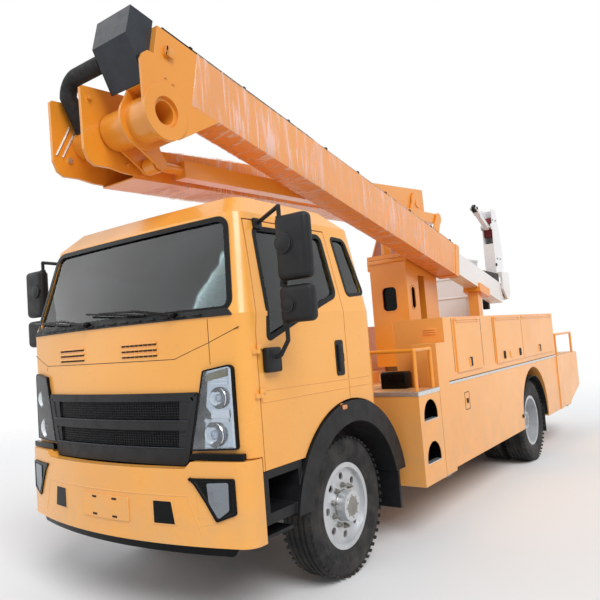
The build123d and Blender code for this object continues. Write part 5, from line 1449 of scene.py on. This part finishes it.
class TRUCK_OT_steps(bpy.types.Operator):
    """Edge strips, deck sheets and fittings of the boarding steps and the rear"""

    bl_idname = "truck.steps"
    bl_label = "Boarding steps"

    front_edge = -1.848
    inner = 0.76
    deck_top = 1.2005
    rear_face = 3.9895
    deck_sheets = (((-1.225, 2.775), (1.225, 3.965)), ((-0.745, -1.775), (0.745, 0.30)),
                   ((-0.745, 1.20), (0.745, 2.745)))

    def strips(self):
        """Bright angles along the deck's edges, with raised teeth, and the tread strips."""
        bm = bmesh.new()
        slab(bm, (self.inner, self.front_edge, 1.170), (1.254, -1.843, 1.2035), 0.0015, 1)
        slab(bm, (1.2535, self.front_edge, 1.170), (1.2585, -1.42, 1.2035), 0.0015, 1)
        for part in range(24):
            x = 0.77 + part * 0.0205
            slab(bm, (x, self.front_edge, 1.2035), (x + 0.009, -1.832, 1.2085))
        for part in range(20):
            y = -1.84 + part * 0.021
            slab(bm, (1.24, y, 1.2035), (1.2585, y + 0.009, 1.2085))
        for z in (0.985, 0.640):
            slab(bm, (1.20, -1.77, z - 0.031), (1.256, -1.49, z - 0.024), 0.002, 1)
        return bm

    def linings(self):
        """Dark back, floor, top and rear wall of the footholds."""
        bm = bmesh.new()
        slab(bm, (1.13, -1.79, 0.60), (1.135, -1.47, 1.16), 0.001, 1)
        slab(bm, (1.13, -1.79, 0.60), (1.24, -1.47, 0.605), 0.001, 1)
        slab(bm, (1.13, -1.79, 1.135), (1.24, -1.47, 1.14), 0.001, 1)
        slab(bm, (1.13, -1.475, 0.60), (1.24, -1.47, 1.14), 0.001, 1)
        return bm

    def deck(self):
        """Chequered sheet on the step's deck."""
        return slab(bmesh.new(), (self.inner, -1.838, self.deck_top), (1.238, -1.425, self.deck_top + 0.004))

    def box(self):
        """Small box with a lid, standing on the deck."""
        bm = slab(bmesh.new(), (0.77, -1.56, 1.205), (1.02, -1.43, 1.345), 0.014, 3)
        return slab(bm, (0.78, -1.55, 1.34), (1.01, -1.44, 1.354), 0.006, 2)

    def cap(self):
        """Tapered plug that stands on the deck."""
        bm = bmesh.new()
        rod(bm, (1.09, -1.50, 1.205), (1.09, -1.50, 1.27), 0.022, 18)
        rod(bm, (1.09, -1.50, 1.27), (1.09, -1.50, 1.285), 0.022, 18, 0.012)
        return bm

    def rear(self):
        """Blank plate and catches on the rear wall."""
        y = self.rear_face
        bm = slab(bmesh.new(), (-0.22, y, 0.98), (0.22, y + 0.0035, 1.12), 0.001, 1)
        piece("rear_plate_blank", bm, "body", "truck")
        bm = bmesh.new()
        for x in (-0.55, 0.55):
            slab(bm, (x - 0.07, y - 0.001, 1.02), (x + 0.07, y + 0.0085, 1.09), 0.006, 2)
        piece("rear_catches", bm, "plastic", "truck")

    def execute(self, context):
        for side, sign in SIDES:
            for name, bm, finish, slot in (
                ("step_strips_", self.strips(), "strip", "steel"),
                ("foothold_linings_", self.linings(), "gloss_black", "black_plastic"),
                ("step_deck_", self.deck(), "deck", "deck"),
                ("deck_box_", self.box(), "gloss_black", "black_plastic"),
                ("deck_cap_", self.cap(), "red", "lamp"),
            ):
                piece(name + side, sided(bm, sign), finish, "truck")
        self.rear()
        bm = bmesh.new()
        for low, high in self.deck_sheets:
            slab(bm, (*low, self.deck_top), (*high, self.deck_top + 0.003))
        piece("deck_sheets", bm, "deck", "truck")
        return {"FINISHED"}


class TRUCK_OT_booms(bpy.types.Operator):
    """Stretch film, seals, cables, bolts and ribs of the booms"""

    bl_idname = "truck.booms"
    bl_label = "Boom fittings"

    elbow = Vector((0, -3.72, 3.25))
    upper_slope = math.radians(-12)
    lower_slope = math.radians(2.033)
    upper_x = (0.27, 0.52)
    upper_z = (0.165, 0.565)
    lower_shape = ((0.52, -0.305), (3.3, -0.30), (3.3, 0.115), (0.52, -0.042))
    slack = 0.003

    def set_out(self, bm, slope):
        """Take shapes drawn along Y from the elbow to a boom's own line."""
        turn = Matrix.Translation(self.elbow) @ Matrix.Rotation(slope, 4, "X")
        bmesh.ops.transform(bm, matrix=turn, verts=list(bm.verts))
        return bm

    def wrinkled(self, bm, seed):
        """Pull the film in and out a little, as slack film lies."""
        chance = random.Random(seed)
        for v in sorted(bm.verts, key=lambda v: (round(v.co.y, 3), round(v.co.z, 3), round(v.co.x, 3))):
            v.co.x += chance.uniform(-self.slack, self.slack)
            v.co.z += chance.uniform(-self.slack, self.slack)

    def film(self, gap):
        """Film wrapped round both booms; it has no slot, because the record has none for film."""
        (x0, x1), (z0, z1) = self.upper_x, self.upper_z
        bm = slab(bmesh.new(), (x0 - gap, 0.22, z0 - gap), (x1 + gap, 4.90, z1 + gap), 0.006, 1)
        sliced(bm, 1, 0.30, 4.90, 0.16)
        sliced(bm, 2, z0, z1, 0.13)
        self.wrinkled(bm, 3)
        piece("upper_boom_film", self.set_out(bm, self.upper_slope), "film", "upper", 60)
        bm = moved(sheet_shape(self.lower_shape, "side"), (-0.38 - gap, 0, 0))
        thicken(bm, 0.36 + 2 * gap, (1, 0, 0))
        sliced(bm, 1, 0.52, 3.3, 0.16)
        self.wrinkled(bm, 5)
        piece("lower_boom_film", self.set_out(bm, self.lower_slope), "film", "lower", 60)

    def seal_and_cables(self):
        """Seal at the mouth of the upper boom, and the clipped cables on its top and on the inner boom."""
        (x0, x1), (z0, z1) = self.upper_x, self.upper_z
        bm = sheet_shape(oblong(x0 - 0.004, z0 - 0.004, x1 + 0.004, z1 + 0.004), "front", 0, 0.03)
        thicken(moved(bm, (0, 5.0595, 0)), 0.018)
        run_tube(bm, ((0.506, -0.10, 0.578), (0.506, 1.6, 0.576), (0.500, 1.75, 0.576), (0.500, 4.92, 0.577)),
                 0.010, 8)
        for part in range(9):
            y = 0.15 + part * 0.58
            slab(bm, (0.488, y, 0.5655), (0.523, y + 0.03, 0.590), 0.004, 1)
        piece("upper_boom_seal_and_cable", self.set_out(bm, self.upper_slope), "hose", "upper")
        bm = bmesh.new()
        for x, z, radius in ((0.33, 0.523, 0.011), (0.355, 0.520, 0.008)):
            rod(bm, (x, 5.30, z), (x, 6.80, z), radius, 8)
        for part in range(4):
            y = 5.45 + part * 0.4
            slab(bm, (0.315, y, 0.510), (0.368, y + 0.025, 0.538), 0.004, 1)
        piece("inner_boom_cable", self.set_out(bm, self.upper_slope), "hose", "inner")

    def bolts(self):
        """Bolts and a small bracket on the upper boom, and the pin bolts of the lower one."""
        bm = bmesh.new()
        for along, height in ((-0.035, 0.238), (0.035, 0.228)):
            for reach, radius, sides in ((0.529, 0.009, 6), (0.522, 0.013, 16)):
                rod(bm, (0.519, along, height), (reach, along, height), radius, sides)
        slab(bm, (0.5195, -0.075, 0.385), (0.545, -0.04, 0.455), 0.004, 2)
        slab(bm, (0.535, -0.075, 0.385), (0.545, 0.0, 0.455), 0.004, 2)
        piece("upper_boom_bolts", self.set_out(bm, self.upper_slope), "boom", "upper")
        bm = bmesh.new()
        for x in (-0.394, -0.008):
            for along, height in ((-0.20, 0.21), (0.09, 0.24), (0.33, -0.22), (0.09, -0.22)):
                rod(bm, (x - 0.006, along, height), (x + 0.020, along, height), 0.017, 6)
        piece("lower_boom_bolts", self.set_out(bm, self.lower_slope), "boom", "lower")

    def ribs(self):
        """Bare ribs and a nut on the lower boom's cheek, and the dark cover near the boom's tip."""
        bm = bmesh.new()
        for a, b in (((-3.960, 3.130), (-3.837, 3.363)), ((-3.908, 3.125), (-3.773, 3.378))):
            rod(bm, (-0.3655, *a), (-0.3655, *b), 0.008, 8)
        rod(bm, (-0.368, -3.85, 3.112), (-0.352, -3.85, 3.112), 0.022, 6)
        piece("cheek_ribs", bm, "strip", "lower")
        bm = moved(sheet_shape(((2.30, 2.4925), (3.0, 2.472), (3.0, 2.344)), "side"), (0.300, 0, 0))
        piece("tip_cover", thicken(bm, 0.192, (1, 0, 0)), "plastic", "inner")

    def execute(self, context):
        self.film(context.scene.truck_sizes.film)
        self.seal_and_cables()
        self.bolts()
        self.ribs()
        return {"FINISHED"}


class TRUCK_OT_tower(bpy.types.Operator):
    """Inside and rims of the turret, its bolts, the boom's tip, the jib's pulley and the bucket's bands"""

    bl_idname = "truck.tower"
    bl_label = "Turret and tip"

    slew_y = 0.75
    slew_radius = 0.385
    pulley = Vector((0.37, 2.5585, 3.4410))
    pulley_profile = ((-0.018, 0.018), (-0.018, 0.058), (-0.010, 0.060), (-0.003, 0.051), (0.003, 0.051),
                      (0.010, 0.060), (0.018, 0.058), (0.018, 0.018))
    tip_bolts = ((3.10, 3.32), (3.24, 3.32), (3.16, 2.72), (3.30, 2.72))

    def turret(self):
        """Dark inside seen through the openings, and the ring of slewing bolts."""
        bm = slab(bmesh.new(), (-0.205, 0.335, 1.93), (0.205, 0.60, 2.31), 0.01, 1)
        piece("turret_inside", bm, "gloss_black", "column")
        bm = bmesh.new()
        for angle in (math.tau * part / 20 for part in range(20)):
            x = self.slew_radius * math.cos(angle)
            y = self.slew_y + self.slew_radius * math.sin(angle)
            rod(bm, (x, y, 1.334), (x, y, 1.354), 0.014, 6)
        piece("slew_bolts", bm, "steel", "column")

    def rims(self):
        """Raised rims round the turret's three openings, and the ledge above them."""
        bm = slab(bmesh.new(), (-0.26, 0.283, 2.545), (0.26, 0.302, 2.597), 0.004, 2)
        for sign in (-1, 1):
            band = sheet_shape(oblong(0.395, 1.965, 0.525, 2.245), "side", 0.05, 0.014)
            joined(bm, thicken(moved(band, (sign * 0.2435, 0, 0)), 0.006, (-sign, 0, 0)))
        band = sheet_shape(oblong(-0.108, 1.947, 0.108, 2.263), "front", 0.065, 0.014)
        joined(bm, thicken(moved(band, (0, 0.2965, 0)), 0.006))
        piece("turret_rims", bm, "boom", "column")

    def tip(self):
        """Boxes, a dark red block and bolts on the tip's frame."""
        bm = bmesh.new()
        slab(bm, (0.18, 3.075, 1.95), (0.268, 3.165, 2.20), 0.012, 3)
        slab(bm, (0.35, 3.22, 2.50), (0.44, 3.30, 2.62), 0.01, 2)
        rod(bm, (0.452, 3.07, 2.62), (0.466, 3.07, 2.62), 0.022, 14)
        slab(bm, (0.292, 3.27, 2.95), (0.448, 3.40, 2.975), 0.006, 1)
        piece("tip_boxes", bm, "plastic", "tip")
        # A dark red block in the top of the tip's frame, between the jib's tube and the column.
        bm = slab(bmesh.new(), (0.301, 3.115, 3.06), (0.439, 3.215, 3.36), 0.008, 2)
        piece("tip_dark_red_block", bm, "maroon", "tip")
        bm = bmesh.new()
        for x in (0.286, 0.454):
            for y, z in self.tip_bolts:
                rod(bm, (x - 0.006, y, z), (x + 0.006, y, z), 0.013, 6)
        piece("tip_bolts", bm, "steel", "tip")

    def jib_pulley(self):
        """Grooved wheel with a boss on each side."""
        bm = bmesh.new()
        lathe(bm, self.pulley_profile, self.pulley, 32)
        for x in (0.322, 0.418):
            rod(bm, (x - 0.006, *self.pulley.yz), (x + 0.006, *self.pulley.yz), 0.02, 12)
        piece("jib_pulley", bm, "hose", "jib")

    def bucket_bands(self):
        """Two raised bands on the front and rear walls of the bucket."""
        low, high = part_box("bucket")
        bm = bmesh.new()
        for z in (low.z + 0.30, low.z + 0.60):
            for y in (low.y + 0.006, high.y - 0.024):
                slab(bm, (low.x + 0.012, y, z), (0.072, y + 0.018, z + 0.03), 0.004, 2)
        piece("bucket_bands", bm, "white", "platform")

    def execute(self, context):
        self.turret()
        self.rims()
        self.tip()
        self.jib_pulley()
        self.bucket_bands()
        return {"FINISHED"}


class TRUCK_OT_panel(bpy.types.Panel):
    """Lists the truck's steps in the sidebar"""

    bl_idname = "TRUCK_PT_steps"
    bl_label = "Cherry Picker Truck"
    bl_space_type = "VIEW_3D"
    bl_region_type = "UI"
    bl_category = "Truck"

    def draw(self, context):
        for step in STEPS:
            self.layout.operator(step.bl_idname)


STEPS = (TRUCK_OT_stage, TRUCK_OT_finishes, TRUCK_OT_wheels, TRUCK_OT_cab_front, TRUCK_OT_grille,
         TRUCK_OT_lamps, TRUCK_OT_bumper, TRUCK_OT_mirrors, TRUCK_OT_doors, TRUCK_OT_interior,
         TRUCK_OT_lockers, TRUCK_OT_steps, TRUCK_OT_booms, TRUCK_OT_tower)
GROUPS = (("truck_finish", TruckFinish), ("truck_sizes", TruckSizes), ("truck_stage", TruckStage))


def register():
    for name, group in GROUPS:
        bpy.utils.register_class(group)
        setattr(bpy.types.Scene, name, bpy.props.PointerProperty(type=group))
    for step in STEPS:
        bpy.utils.register_class(step)
    bpy.utils.register_class(TRUCK_OT_panel)


def unregister():
    bpy.utils.unregister_class(TRUCK_OT_panel)
    for step in reversed(STEPS):
        bpy.utils.unregister_class(step)
    for name, group in reversed(GROUPS):
        delattr(bpy.types.Scene, name)
        bpy.utils.unregister_class(group)


def main():
    register()
    for step in STEPS:
        family, verb = step.bl_idname.split(".")
        getattr(getattr(bpy.ops, family), verb)()
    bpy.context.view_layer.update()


if __name__ == "__main__":
    main()
